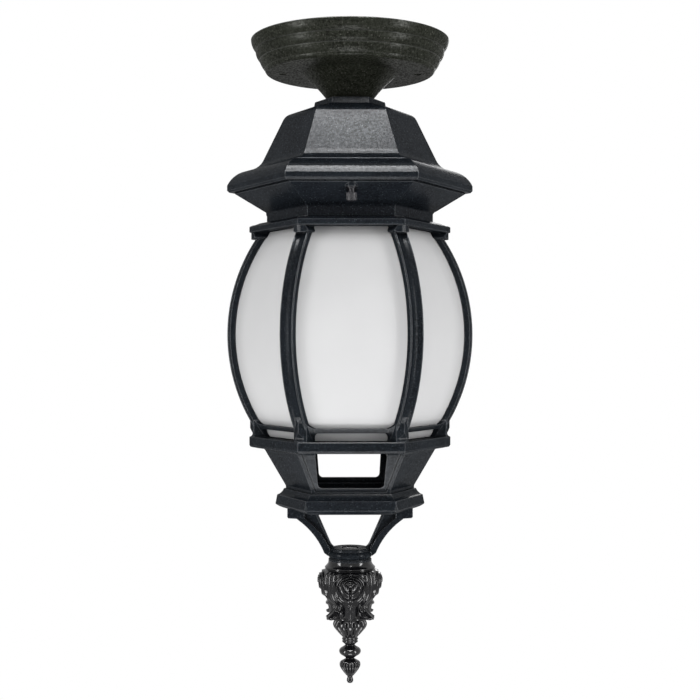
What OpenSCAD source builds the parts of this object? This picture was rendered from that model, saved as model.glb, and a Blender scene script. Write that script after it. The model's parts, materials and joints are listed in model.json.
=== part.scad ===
// Porch ceiling lantern: a six-sided cast lantern under a round ceiling canopy.
// The cage of bowed ribs and bent panes comes off the roof once three thumb screws are loose.
// Millimetres. Z is up, the ceiling is at z = 0 and the lantern hangs below it.
// One face looks forward along -Y, and two of the six corners lie on the X axis.
// Radii of six-sided pieces are measured to their corners.

/* [Canopy] */
// Radius of the canopy against the ceiling
canopy_r = 79; // [76:0.5:86]
// Radius of the canopy at its lower edge
canopy_low_r = 68; // [66:0.5:72]
// Height of the canopy's stepped side
canopy_h = 26.5; // [25:0.5:32]
// Height of the upper moulding on the side
band_1_h = 8.9; // [7:0.1:10]
// Height of the middle moulding on the side
band_2_h = 7.5; // [6:0.1:9]
// How far each moulding swells
band_swell = 0.9; // [0.4:0.1:1.2]
// Depth of the grooves between the mouldings
groove_depth = 0.9; // [0.4:0.1:1.2]
// Rounding of the canopy's lower edge
canopy_edge_r = 3; // [1:0.5:4]
// Wall of the canopy casting
canopy_wall = 3; // [2.5:0.25:4]
// Width of the flat rim that meets the ceiling
canopy_rim_w = 9; // [8:0.5:11]
// Width of the foam gasket
gasket_w = 4.5; // [3:0.5:6]
// Thickness of the foam gasket
gasket_t = 1.5; // [1:0.25:2]
// Distance between the two ceiling screws
ceiling_pitch = 108; // [100:1:112]
// Radius of the hole for each ceiling screw
ceiling_hole_r = 2.5; // [2:0.25:3]
// Radius of the post round each ceiling screw
ceiling_post_r = 6; // [5:0.5:7]
// Radius of the cone where it leaves the canopy
cone_top_r = 38; // [34:0.5:42]
// Radius of the cone at the roof
cone_low_r = 17; // [16:0.5:20]
// Height of the cone
cone_h = 22.5; // [19:0.5:28]

/* [Stem] */
// Radius of the threaded tube that joins canopy and roof
stem_r = 5; // [4.5:0.25:6]
// Radius of the wiring bore in the tube
stem_bore_r = 3.6; // [3.2:0.1:4]
// Corner radius of the hexagon nuts
stem_nut_r = 8.1; // [7.5:0.1:9]
// Height of each hexagon nut
stem_nut_h = 4; // [3:0.5:5]
// Radius of the washer under the upper nut
washer_r = 10; // [9.5:0.5:12]
// Thickness of the washer
washer_t = 1.5; // [1:0.25:2]
// How far the tube stands out of each nut
stem_proud = 2; // [1:0.5:3]

/* [Wiring] */
// Length of the terminal block
block_l = 30; // [26:1:36]
// Width of the terminal block
block_w = 15; // [13:0.5:18]
// Height of the terminal block
block_h = 13; // [11:0.5:15]
// Distance between the poles of the block
pole_pitch = 9; // [8:0.5:10]
// Diameter of each insulated wire
wire_d = 2.2; // [2:0.1:2.6]

/* [Roof] */
// Corner radius of the neck block under the cone
neck_r = 28; // [26:0.5:32]
// Height of the neck block
neck_h = 5; // [4:0.25:7]
// Corner radius of the small tier under the neck block
tier_r = 36.4; // [34:0.2:40]
// Height of the small tier
tier_h = 3.4; // [2.8:0.2:4.4]
// Corner radius of the roof's nearly flat top
shoulder_r = 47.6; // [44:0.4:50]
// Fall of the nearly flat top
shoulder_fall = 1.2; // [0.6:0.2:2]
// Corner radius where the bell's straight slope starts
bell_top_r = 53.2; // [51:0.2:56]
// Height of the rounded shoulder above the slope
shoulder_round_h = 4.4; // [3.6:0.2:5.4]
// Height of the bell's straight slope
bell_h = 32; // [28:1:40]
// Corner radius at the foot of the slope
eave_r = 69; // [66:0.5:74]
// Corner radius where the flare meets the rim moulding
flare_r = 79; // [76:0.5:84]
// Height of the flare
flare_h = 8; // [6:0.5:10]
// Corner radius of the roof's broad rim
rim_r = 98.2; // [96:0.2:104]
// Height of the rim's rounded moulding
rim_curve_h = 12.8; // [11:0.2:15]
// Height of the rim's upright band
rim_band_h = 4; // [3:0.25:6]
// Height of the bevel under the band
rim_bevel = 1.6; // [1:0.2:2.4]
// Wall of the roof casting
roof_wall = 3; // [2.5:0.25:4]
// Thickness of the roof's top plate
roof_top_t = 3.4; // [3:0.2:5]

/* [Lampholder] */
// Width of the holder's body across its flats
holder_w = 40; // [38:1:44]
// Height of the holder's body
holder_h = 40; // [38:1:46]
// Gap between the stem's end and the holder's top
holder_drop = 8; // [7:0.5:12]
// Radius of the bore for the threaded shell
holder_bore_r = 14.2; // [14:0.1:15]
// Wall of the threaded shell
shell_t = 0.8; // [0.6:0.1:1]
// Depth of the bore
holder_bore_h = 31; // [28:0.5:33]
// Thickness of the bracket's steel strap
strap_t = 2; // [1.5:0.25:3]
// Width of the bracket's strap
strap_w = 14; // [12:0.5:18]

/* [Collar] */
// Corner radius of the collar's upper edge
collar_r = 92; // [90:0.25:93]
// Corner radius of the collar's neck
collar_neck_r = 66.4; // [64:0.2:68]
// Height of the collar's sloping part
collar_slope_h = 17.6; // [15:0.2:21]
// Height of the collar's neck
collar_neck_h = 6.4; // [5:0.2:9]
// Wall of the collar casting
collar_wall = 3; // [2.5:0.25:3.5]
// Distance of the thumb screws inside the faces of the roof's rim
thumb_inset = 10; // [9:0.25:11]
// Radius of a thumb screw's thread
thumb_r = 2; // [1.75:0.25:2.25]
// Radius of a thumb screw's knurled head
thumb_head_r = 3.9; // [3.4:0.1:4.4]
// Height of a thumb screw's knurled head
thumb_head_h = 6.6; // [5:0.2:9]
// Running clearance of a thumb screw in its holes
thumb_fit = 0.06; // [0.04:0.01:0.08]

/* [Cage] */
// Height of the cage between its two rims
cage_h = 162.6; // [150:0.2:180]
// Corner radius of the ribs' outer face at the cage's middle
belly_r = 100; // [96:0.5:106]
// Corner radius of the ribs' outer face at the rims
cage_end_r = 74.2; // [73:0.2:76]
// How far the rims stand out past the ribs' ends
rim_over = 6.2; // [5:0.2:8]
// Corner radius of the opening through both rims
opening_r = 52; // [50:0.5:53]
// Height of the cage's top rim
top_rim_h = 8; // [7:0.25:10]
// Height of the lip that covers the panes' upper edges
pane_lip_h = 3; // [2:0.25:4]
// Height of the cage's bottom rim
bottom_rim_h = 9; // [8:0.25:11]
// Width of a rib's outer cap
rib_w = 10; // [9:0.25:11]
// How far a rib's cap is rounded over
rib_round = 2.4; // [1.6:0.2:3]
// Depth of a rib from its outer face to its inner edge
rib_depth = 14.5; // [13:0.5:17]
// Thickness of a rib's stem between the panes
stem_w = 3.2; // [2.8:0.2:4]
// Depth of a rib's cap before the panes cut it back
cap_depth = 12; // [10:0.5:14]
// Depth of the ribs' feet and capitals
foot_depth = 20; // [16:0.5:24]
// Depth below a rib's outer face at which the panes' faces meet
pane_set = 6.35; // [6:0.05:7]
// Thickness of the panes
pane_t = 3; // [2.5:0.25:3.5]
// Gap round the panes
pane_gap = 0.25; // [0.2:0.05:0.4]
// Height of the level bars in front of the panes
rail_h = 3.5; // [3:0.25:5]
// Depth of the level bars
rail_d = 3; // [2.5:0.25:4]
// Height of the level bars above the bottom rim
rail_up = 6.5; // [5:0.25:8]
// Half the width of a rib's foot where the bars meet it
foot_reach = 9; // [8:0.25:11]
// Half the width of a rib's foot at the bottom rim
foot_half_w = 5.6; // [5.4:0.1:7]
// Height of a rib's capital
capital_h = 5; // [4:0.2:7]
// Half the width of a capital at its widest
capital_half_w = 6.4; // [6:0.2:9]
// Length of each pane clip
clip_l = 12; // [8:1:20]
// Distance of the clips above and below the cage's middle
clip_offset = 48; // [40:1:60]
// Thickness of the clips' spring steel
clip_t = 0.8; // [0.6:0.1:1]

/* [Base] */
// Corner radius of the skirt under the bottom rim
skirt_r = 69; // [68:0.2:71]
// Corner radius of the skirt at its lower end
skirt_low_r = 51.4; // [49:0.2:54]
// Height of the skirt
skirt_h = 32.4; // [28:0.4:40]
// Half the width of the skirt's and base ring's front faces, as a share of their corner radius
base_front = 0.59; // [0.56:0.01:0.62]
// Wall of the skirt casting
skirt_wall = 3; // [2.5:0.25:3.5]
// Half the width of the skirt's windows at the top
window_half_w = 27.4; // [24:0.2:28]
// Half the width of the skirt's windows at the bottom
window_low_half_w = 25; // [20:0.2:25.6]
// Height of the skirt's windows
window_h = 28; // [22:0.5:28.5]
// Width of the bead along the skirt's front corners
bead_w = 2.6; // [2:0.2:3.2]
// Width of the groove that sets the bead off
groove_w = 1.4; // [1:0.1:1.8]
// Depth of that groove
skirt_groove_d = 0.8; // [0.4:0.1:1]
// Corner radius of the base ring at its widest
base_r = 59.6; // [57:0.2:63]
// Height of the base ring
base_h = 16; // [14:0.5:19]
// Height of the base ring's hollow upper slope
base_slope_h = 5; // [4:0.25:6]
// Height of the bevel under the base ring's edge
base_bevel_h = 3.2; // [2:0.2:4.4]
// Thickness of the base ring's bottom plate
base_plate_t = 4; // [3:0.25:5]
// Radius of the opening in the bottom plate
base_hole_r = 25; // [20:0.5:27]

/* [Finial bracket] */
// Height of the bracket from the base ring to the finial
bracket_h = 41.6; // [36:0.4:50]
// Distance of the arms' outer feet from the axis
arm_foot_r = 50; // [48:0.25:52]
// Distance of the arms' inner edges from the axis at the base ring
arm_inner_r = 28; // [27:0.25:32]
// Depth of the feet below the base ring
arm_foot_h = 7.6; // [6:0.2:9]
// Width of the arms' outer flange
arm_w = 10; // [8:0.25:12]
// Thickness of the arms' web
arm_web_t = 4.4; // [3:0.2:6]
// Radius of the hub where the finial joins it
hub_r = 17.2; // [16:0.2:19]
// Height of the hub
hub_h = 10.6; // [9.6:0.2:13]
// Radius of the finial's threaded rod
stud_r = 3; // [2.5:0.25:3.5]

/* [Finial] */
// Height of the ornate bulb under the hub
bulb_h = 36; // [32:0.5:42]
// Radius of the bulb
bulb_r = 23.4; // [21:0.2:25]
// Height of the turned drop under the bulb
drop_h = 62.4; // [56:0.4:70]
// Radius of the drop's upper knop
knop_r = 13.2; // [11:0.2:15]
// Radius of the drop's lower knop
bud_r = 8.4; // [7:0.2:10]
// Radius of the four scrolled discs
scroll_r = 11.4; // [10:0.2:12.5]
// How far the scrolled discs stand out of the bulb
scroll_proud = 3; // [1.6:0.2:3.4]
// Distance of the leaves' curled tips from the axis
leaf_r = 22.4; // [20:0.2:24]
// Width of each leaf in degrees
leaf_spread = 42; // [30:1:50]

/* [Hidden] */
$fn = 96;

// Small values shared by many pieces
eps = 1;             // how far a cutter runs past the face that it opens
snug = 0.1;          // gap between pieces that are assembled once
screw_r = 2;         // radius of the assembly screws' shanks
head_r = 3.6;        // radius of their heads
head_h = 2.4;        // height of their heads
recess_r = 4;        // radius of the recesses for the heads
recess_h = 2.8;      // depth of those recesses
sides = 6;
turn = 360 / sides;
half_turn = turn / 2;
flat = cos(half_turn);
front = -90;         // direction of the front face

// Levels of the fixed part, from the ceiling down
z_cone = -canopy_h;
z_floor = z_cone + canopy_wall;
z_neck = z_cone - cone_h;
cone_floor_t = 4;
z_cone_floor = z_neck + cone_floor_t;
z_tier = z_neck - neck_h;
z_plate = z_tier - tier_h;
z_shoulder = z_plate - shoulder_fall;
z_bell = z_shoulder - shoulder_round_h;
z_eave = z_bell - bell_h;
z_flare = z_eave - flare_h;
z_ovolo = z_flare - rim_curve_h;
z_band = z_ovolo - rim_band_h;
z_rim = z_band - rim_bevel;
z_ceiling = z_shoulder - roof_top_t;
z_stem_top = z_cone_floor + washer_t + stem_nut_h + stem_proud;
z_nut = z_ceiling - strap_t;
z_stem_low = z_nut - stem_nut_h - stem_proud;
z_holder = z_stem_low - holder_drop;
z_holder_low = z_holder - holder_h;

// Levels of the cage, from the roof's rim down
z_collar = z_rim - collar_slope_h;
z_cage = z_collar - collar_neck_h;
z_under = z_cage - top_rim_h + pane_lip_h;
z_lip = z_cage - top_rim_h;
z_foot = z_lip - cage_h;
z_belly = (z_lip + z_foot) / 2;
z_skirt = z_foot - bottom_rim_h;
z_base = z_skirt - skirt_h;
z_bracket = z_base - base_h;
z_finial = z_bracket - bracket_h;
z_hub = z_finial + hub_h;
z_drop = z_finial - bulb_h;
z_tip = z_drop - drop_h;

// The ribs' outer faces are arcs through the belly and the two ends
half_cage = cage_h / 2;
bow = belly_r - cage_end_r;
rib_arc_r = (half_cage * half_cage + bow * bow) / (2 * bow);
arc_centre_r = belly_r - rib_arc_r;
pane_arc_r = rib_arc_r - pane_set;
// Each pane is bent to one radius, which meets its neighbours at the belly and at both ends
pane_belly_a = flat * (belly_r - pane_set);
pane_bow = flat * (pane_arc_r - sqrt(pane_arc_r * pane_arc_r - half_cage * half_cage));
pane_r = (half_cage * half_cage + pane_bow * pane_bow) / (2 * pane_bow);
pane_centre_a = pane_belly_a - pane_r;
rim_out_r = cage_end_r + rim_over;
lip_in_r = cage_end_r - pane_set - 0.9;
rib_screw_r = cage_end_r - 1;
rib_screw_grip = 4.4;    // how far the ribs' screws reach into the ribs
top_recess_h = recess_h + 1.8;
base_slant = side_slant(base_front);
flange_t = 2.6;
collar_screw_a = flat * (collar_neck_r - collar_wall / flat) - recess_r - 0.2;
skirt_screw_a = flat * opening_r + head_r + 1.2;
base_screw_a = cos(base_slant) * skirt_low_r - skirt_wall - 3.4;
thumb_reach = flat * rim_r - thumb_inset;
thumb_pad_r = 4.6;
thumb_pad_h = 4.4;
thumb_thread_l = 9;
thumb_boss_h = 12.8;

// ---------------------------------------------------------------- outlines

// Points of an arc from p to q that swells outward by sag at its middle
function arc(p, q, sag, n = 6) =
    let (c = norm(q - p), d = (q - p) / c, out = [-d[1], d[0]], s = abs(sag),
         r = (c * c / 4 + s * s) / (2 * s), half = asin(c / 2 / r))
    [for (i = [0 : n]) let (a = half * (2 * i / n - 1))
        p + d * (c / 2 + r * sin(a)) + out * sign(sag) * (r * cos(a) - r + s)];

// The path without points that repeat the one before
function clean(path) =
    [for (i = [0 : len(path) - 1]) if (i == 0 || norm(path[i] - path[i - 1]) > 0.01) path[i]];

// A solid with six flat sides whose side corners follow the profile of [corner radius, z] points.
// front_share is half the front face's width over that radius: 0.5 makes all the faces equal
module hexform(profile, front_share = 0.5) {
    path = clean(profile);
    slant = side_slant(front_share);
    span = 2 * max([for (p = path) p[0]]) + 2 * eps;
    intersection() {
        slab(path, flat, span, 90);
        slab(path, cos(slant), span, slant);
        slab(path, cos(slant), span, -slant);
    }
}

// Direction of the face between a side corner and the front face
function side_slant(front_share) = atan((1 - front_share) / flat);

// The space between two opposite faces, whose distances from the axis are a share of the radius
module slab(path, share, span, direction) {
    half = [for (p = path) [p[0] * share, p[1]]];
    outline = concat(half, [for (i = [len(half) - 1 : -1 : 0]) [-half[i][0], half[i][1]]]);
    rotate([0, 0, direction]) rotate([90, 0, 0])
        linear_extrude(height = span, center = true) polygon(outline);
}

// A turned solid whose profile of [radius, z] points is closed along the axis
module turned(profile) {
    path = clean(profile);
    last = path[len(path) - 1];
    rotate_extrude() polygon(concat([[0, path[0][1]]], path, [[0, last[1]]]));
}

// A straight round hole along Z
module bore(r, from_z, to_z) {
    translate([0, 0, min(from_z, to_z)]) cylinder(r = r, h = abs(to_z - from_z));
}

// Children turned to each corner or face of the hexagon, or to the slanted faces of the base
module at_corners(list = [0 : sides - 1]) {
    for (i = list) rotate([0, 0, turn * i]) children();
}

module at_slants() {
    for (a = [base_slant, -base_slant, 180 - base_slant, 180 + base_slant]) rotate([0, 0, a]) children();
}

module at_faces(list = [0 : sides - 1]) {
    for (i = list) rotate([0, 0, front + turn * i]) children();
}

// A screw with its head's seat at z = 0 and its shank below, or above when it is flipped
module screw(length, flip = false) {
    slot_w = 0.9;
    mirror([0, 0, flip ? 1 : 0]) difference() {
        union() {
            bore(screw_r, -length, 0);
            bore(head_r, 0, head_h);
        }
        translate([-head_r - eps, -slot_w / 2, head_h - slot_w])
            cube([2 * (head_r + eps), slot_w, slot_w + eps]);
    }
}

module hex_nut(corner_r, height, hole_r) {
    chamfer = height / 6;
    difference() {
        intersection() {
            cylinder(r = corner_r, h = height, $fn = 6);
            turned([[corner_r - chamfer, height], [corner_r + chamfer / 2, height - chamfer],
                [corner_r + chamfer / 2, chamfer], [corner_r - chamfer, 0]]);
        }
        bore(hole_r, -eps, height + eps);
    }
}

// ---------------------------------------------------------------- canopy and stem

function canopy_side(z) = canopy_r + (canopy_low_r - canopy_r) * z / z_cone;
function cone_side(z) = cone_top_r + (cone_low_r - cone_top_r) * (z - z_cone) / (z_neck - z_cone);

function moulding(z_top, z_low) =
    let (step = 0.3)
    concat([[canopy_side(z_top) - groove_depth, z_top]],
        arc([canopy_side(z_top), z_top - step], [canopy_side(z_low), z_low + step], band_swell),
        [[canopy_side(z_low) - groove_depth, z_low]]);

module canopy() {
    z_1 = -band_1_h;
    z_2 = z_1 - band_2_h;
    rim_in_r = canopy_r - canopy_rim_w;
    slope = atan((cone_top_r - cone_low_r) / cone_h);
    cone_wall = canopy_wall / cos(slope);
    gasket_in_r = rim_in_r + (canopy_rim_w - gasket_w) / 3;
    color([0.25, 0.26, 0.24]) difference() {
        union() {
            difference() {
                turned(concat(
                    [[canopy_r - 0.6, 0]],
                    arc([canopy_r, -0.4], [canopy_side(z_1), z_1 + 0.3], band_swell),
                    moulding(z_1, z_2),
                    [[canopy_side(z_2), z_2 - 0.3]],
                    arc([canopy_side(z_2), z_2 - 0.3], [canopy_low_r, z_cone + canopy_edge_r],
                        band_swell / 2),
                    arc([canopy_low_r, z_cone + canopy_edge_r], [canopy_low_r - canopy_edge_r, z_cone],
                        canopy_edge_r * 0.29),
                    [[cone_top_r + 1.6, z_cone], [cone_top_r, z_cone - 0.6]],
                    arc([cone_top_r, z_cone - 0.6], [cone_low_r, z_neck], -1.2)));
                turned([[rim_in_r, eps], [rim_in_r, -gasket_t],
                    [canopy_low_r - canopy_wall - groove_depth, z_floor],
                    [cone_side(z_floor) - cone_wall, z_floor],
                    [cone_side(z_cone_floor) - cone_wall - 1.2, z_cone_floor]]);
            }
            for (side = [-1, 1]) translate([side * ceiling_pitch / 2, 0, 0])
                bore(ceiling_post_r, z_cone + 0.5, 0);
        }
        for (side = [-1, 1]) translate([side * ceiling_pitch / 2, 0, 0]) {
            bore(ceiling_hole_r, z_cone - eps, eps);
            translate([0, 0, z_cone - eps])
                cylinder(r1 = ceiling_hole_r + 0.8 + eps, r2 = ceiling_hole_r, h = 0.8 + eps);
        }
        bore(stem_r + snug, z_neck - eps, z_cone_floor + eps);
        difference() {
            bore(gasket_in_r + gasket_w + snug, -gasket_t, eps);
            bore(gasket_in_r - snug, -gasket_t - eps, 2 * eps);
        }
        earth_place() bore(screw_r + snug, z_floor - 2, z_floor + eps);
        block_place() pole_row() translate([0, 0, z_floor]) bore(0.9, -2, -eps);
    }
}

module canopy_gasket() {
    gasket_in_r = canopy_r - canopy_rim_w + (canopy_rim_w - gasket_w) / 3;
    color([0.15, 0.15, 0.15]) difference() {
        bore(gasket_in_r + gasket_w, -gasket_t, 0);
        bore(gasket_in_r, -gasket_t - eps, eps);
    }
}

module stem_nipple() {
    color([0.75, 0.72, 0.6]) difference() {
        bore(stem_r, z_stem_low, z_stem_top);
        bore(stem_bore_r, z_stem_low - eps, z_stem_top + eps);
    }
}

module stem_washer() {
    color([0.7, 0.7, 0.68]) translate([0, 0, z_cone_floor]) difference() {
        cylinder(r = washer_r, h = washer_t);
        bore(stem_r + snug, -eps, washer_t + eps);
    }
}

module stem_top_nut() {
    color([0.75, 0.72, 0.6]) translate([0, 0, z_cone_floor + washer_t])
        hex_nut(stem_nut_r, stem_nut_h, stem_r + 0.02);
}

module stem_bottom_nut() {
    color([0.75, 0.72, 0.6]) translate([0, 0, z_nut - stem_nut_h])
        hex_nut(stem_nut_r, stem_nut_h, stem_r + 0.02);
}

// ---------------------------------------------------------------- wiring

block_reach = 46;    // distance of the terminal block's middle from the axis
earth_pos = [-24, 42, 0];
pole_bore_r = 1.6;
pole_z = z_floor + block_h / 2 - 1;

module block_place() { translate([0, block_reach, 0]) children(); }

module earth_place() { translate(earth_pos) children(); }

module pole_row() {
    for (i = [-1 : 1]) translate([i * pole_pitch, 0, 0]) children();
}

module terminal_block() {
    color([0.85, 0.84, 0.8]) block_place() difference() {
        union() {
            translate([-block_l / 2, -block_w / 2, z_floor]) cube([block_l, block_w, block_h - 2]);
            pole_row() bore(pole_pitch / 2 - 0.6, z_floor + 1, z_floor + block_h);
        }
        pole_row() {
            bore(screw_r - 0.2, pole_z, z_floor + block_h + eps);
            translate([0, 0, pole_z]) rotate([90, 0, 0])
                cylinder(r = pole_bore_r, h = block_w + 2 * eps, center = true);
        }
    }
}

module terminal_screws() {
    color([0.8, 0.75, 0.5]) block_place() pole_row() {
        difference() {
            bore(screw_r - 0.3, pole_z + wire_d / 2 + snug, z_floor + block_h - 2);
            translate([-screw_r, -0.3, z_floor + block_h - 3]) cube([2 * screw_r, 0.6, 1 + eps]);
        }
    }
}

module earth_screw() {
    color([0.8, 0.75, 0.5]) earth_place() translate([0, 0, z_floor + strap_t / 2]) screw(2.6);
}

// A tube with round numbers for its route, swept ring by ring
function route(p, steps = 6) = [for (i = [0 : len(p) - 2]) let (
        a = p[max(i - 1, 0)], b = p[i], c = p[i + 1], d = p[min(i + 2, len(p) - 1)],
        last = i == len(p) - 2 ? steps : steps - 1)
    for (k = [0 : last]) let (t = k / steps)
        0.5 * (2 * b + (c - a) * t + (2 * a - 5 * b + 4 * c - d) * t * t
            + (3 * b - a - 3 * c + d) * t * t * t)];

module wire(path, r, n = 8) {
    count = len(path);
    dir = [for (i = [0 : count - 1])
        let (v = path[min(i + 1, count - 1)] - path[max(i - 1, 0)]) v / norm(v)];
    side = [1, 0.13, 0.07];
    points = [for (i = [0 : count - 1])
        let (u = cross(dir[i], side), x = u / norm(u), y = cross(dir[i], x))
        for (k = [0 : n - 1]) path[i] + r * (cos(360 * k / n) * x + sin(360 * k / n) * y)];
    walls = [for (i = [0 : count - 2]) for (k = [0 : n - 1])
        [i * n + k, i * n + (k + 1) % n, (i + 1) * n + (k + 1) % n, (i + 1) * n + k]];
    start = [[for (k = [n - 1 : -1 : 0]) k]];
    end = [[for (k = [0 : n - 1]) (count - 1) * n + k]];
    polyhedron(points = points, faces = concat(walls, start, end), convexity = 6);
}

block_face_y = block_reach - block_w / 2;
wire_offset = wire_d / 2 + 0.35;

// A wire runs from its pole into the stem, down through it and to the holder's top
function lamp_route(side) = [
    [side * pole_pitch, block_face_y + 3, pole_z],
    [side * pole_pitch, block_face_y - 4, pole_z],
    [side * pole_pitch * 0.8, block_face_y - 16, pole_z + 2],
    [side * (wire_offset + 1.5), 8, pole_z - 1],
    [side * wire_offset, 1, pole_z - 8],
    [side * wire_offset, 0, z_stem_top],
    [side * wire_offset, 0, z_stem_low],
    [side * (wire_offset + 1.6), 0, z_stem_low - 3],
    [side * 6, 0, z_holder + 2],
    [side * 6, 0, z_holder]];

module live_wire() { color([0.5, 0.3, 0.15]) wire(route(lamp_route(1)), wire_d / 2); }

module neutral_wire() { color([0.2, 0.35, 0.7]) wire(route(lamp_route(-1)), wire_d / 2); }

module earth_wire() {
    loop_z = z_floor + wire_d / 2;
    color([0.35, 0.6, 0.25]) wire(route([
        [0, block_face_y + 3, pole_z],
        [0, block_face_y - 5, pole_z],
        [-6, block_face_y - 11, pole_z],
        [-16, block_face_y - 9, pole_z - 1],
        [-23, block_face_y - 4, loop_z + 0.4],
        [earth_pos[0], earth_pos[1] - head_r - 2, loop_z],
        [earth_pos[0], earth_pos[1] - head_r - 0.2, loop_z]]), wire_d / 2);
}

// ---------------------------------------------------------------- roof

function bell_side(z) = bell_top_r + (eave_r - bell_top_r) * (z_bell - z) / bell_h;
roof_wall_r = roof_wall / cos(atan((eave_r - bell_top_r) * flat / bell_h)) / flat;
rim_in_r = rim_r - (roof_wall + 1) / flat;

module roof_outside() {
    hexform(concat(
        [[neck_r, z_neck], [neck_r + 1, z_tier]],
        arc([tier_r - 1.8 * tier_h, z_tier], [tier_r, z_plate], 0.7, 4),
        [[shoulder_r, z_shoulder]],
        arc([shoulder_r, z_shoulder], [bell_top_r, z_bell], 0.7, 4),
        arc([eave_r, z_eave], [flare_r, z_flare], -1.6, 6),
        [[flare_r + 0.2, z_flare - 0.8]],
        arc([flare_r + 1.6, z_flare - 0.8], [rim_r, z_ovolo], 2.9, 8),
        [[rim_r, z_band], [rim_r - rim_bevel, z_rim]]));
}

module roof_inside() {
    hexform(concat(
        [[bell_side(z_ceiling) - roof_wall_r - 2.6, z_ceiling],
            [bell_side(z_ceiling - 2.6) - roof_wall_r, z_ceiling - 2.6]],
        arc([eave_r - roof_wall_r, z_eave - 0.5], [flare_r - roof_wall, z_flare - roof_wall], -1.4, 4),
        arc([flare_r - roof_wall, z_flare - roof_wall], [rim_in_r, z_ovolo - 0.6], 2.4, 6),
        [[rim_in_r, z_rim - eps]]));
}

module roof() {
    color([0.2, 0.22, 0.24]) difference() {
        union() {
            difference() {
                roof_outside();
                roof_inside();
            }
            at_faces([0, 2, 4]) translate([thumb_reach, 0, 0])
                bore(thumb_pad_r, z_rim, z_rim + thumb_boss_h);
        }
        bore(stem_r + snug, z_neck + eps, z_ceiling - eps);
        at_faces([0, 2, 4]) translate([thumb_reach, 0, 0])
            bore(thumb_r + thumb_fit, z_rim - eps, z_rim + thumb_thread_l + 1);
    }
}

// ---------------------------------------------------------------- lampholder

holder_screw_z = z_holder - 8;

module lampholder_bracket() {
    leg_h = z_ceiling - holder_screw_z + 7;
    out = holder_w + 2 * (strap_t + snug);
    color([0.72, 0.73, 0.74]) difference() {
        translate([-out / 2, -strap_w / 2, z_ceiling - leg_h]) cube([out, strap_w, leg_h]);
        translate([-out / 2 + strap_t, -strap_w, z_ceiling - leg_h - eps])
            cube([out - 2 * strap_t, 2 * strap_w, leg_h + eps - strap_t]);
        bore(stem_r + snug, z_ceiling - strap_t - eps, z_ceiling + eps);
        translate([0, 0, holder_screw_z]) rotate([0, 90, 0])
            cylinder(r = screw_r + snug, h = out + 2 * eps, center = true);
    }
}

module bracket_screws() {
    seat = holder_w / 2 + strap_t + snug;
    color([0.72, 0.73, 0.74]) for (side = [0, 180]) rotate([0, 0, side])
        translate([seat, 0, holder_screw_z]) rotate([0, 90, 0]) screw(strap_t + 5);
}

module lampholder_body() {
    body_r = holder_w / 2 + 1.6;
    color([0.9, 0.88, 0.83]) difference() {
        intersection() {
            turned([[body_r - 3, z_holder], [body_r, z_holder - 3], [body_r, z_holder - 20],
                [body_r - 2.4, z_holder - 22], [body_r - 2.4, z_holder_low + 4],
                [body_r - 1, z_holder_low + 2.4], [body_r - 1, z_holder_low]]);
            translate([-holder_w / 2, -holder_w, z_holder_low - eps])
                cube([holder_w, 2 * holder_w, holder_h + 2 * eps]);
        }
        bore(holder_bore_r, z_holder_low - eps, z_holder_low + holder_bore_h);
        translate([0, 0, holder_screw_z]) rotate([0, 90, 0])
            cylinder(r = screw_r + snug, h = holder_w + 2 * eps, center = true);
    }
}

module lampholder_shell() {
    shell_r = holder_bore_r - snug;
    shell_h = holder_bore_h - 4;
    color([0.8, 0.7, 0.4]) translate([0, 0, z_holder_low + 1]) difference() {
        cylinder(r = shell_r, h = shell_h);
        bore(shell_r - shell_t, -eps, shell_h + eps);
    }
}

module lampholder_contact() {
    top = z_holder_low + holder_bore_h;
    color([0.8, 0.7, 0.4]) {
        bore(6, top - 1.5, top);
        bore(2.4, top - 4, top - 1.5);
    }
}

// ---------------------------------------------------------------- collar

collar_edge = 1;
collar_slope_low = 2.4;
collar_k = (collar_slope_h - collar_edge - collar_slope_low)
    / (collar_r - collar_neck_r - 2);
collar_wall_z = collar_wall / cos(atan(collar_k / flat));
collar_in_r = collar_neck_r - collar_wall / flat;
function collar_line(r) = z_rim - collar_edge - (collar_r - r) * collar_k;

module collar() {
    in_top_r = collar_r - 9;
    z_flange = z_cage + flange_t;
    color([0.16, 0.18, 0.2]) difference() {
        union() {
            difference() {
                hexform(concat(
                    [[collar_r, z_rim], [collar_r, z_rim - collar_edge]],
                    arc([collar_neck_r + 2, z_collar + collar_slope_low], [collar_neck_r, z_collar],
                        -0.5, 4),
                    [[collar_neck_r, z_cage]]));
                hexform([[in_top_r, z_rim + eps], [in_top_r, collar_line(in_top_r) + collar_wall_z],
                    [collar_in_r, collar_line(collar_in_r) + collar_wall_z],
                    [collar_in_r, z_flange], [opening_r, z_flange], [opening_r, z_cage - eps]]);
            }
            at_faces([0, 2, 4]) translate([thumb_reach, 0, 0])
                bore(thumb_pad_r, z_rim - thumb_pad_h, z_rim);
        }
        at_faces([0, 2, 4]) translate([thumb_reach, 0, 0]) {
            bore(thumb_r + thumb_fit, z_rim - thumb_pad_h - eps, z_rim + eps);
            bore(thumb_head_r + snug, z_rim - 2 * thumb_pad_h, z_rim - thumb_pad_h);
        }
        at_faces() translate([collar_screw_a, 0, 0])
            bore(screw_r + snug, z_cage - eps, z_flange + eps);
    }
}

module collar_screws() {
    color([0.72, 0.73, 0.74]) at_faces() translate([collar_screw_a, 0, z_cage + flange_t])
        screw(flange_t + 4);
}

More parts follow.
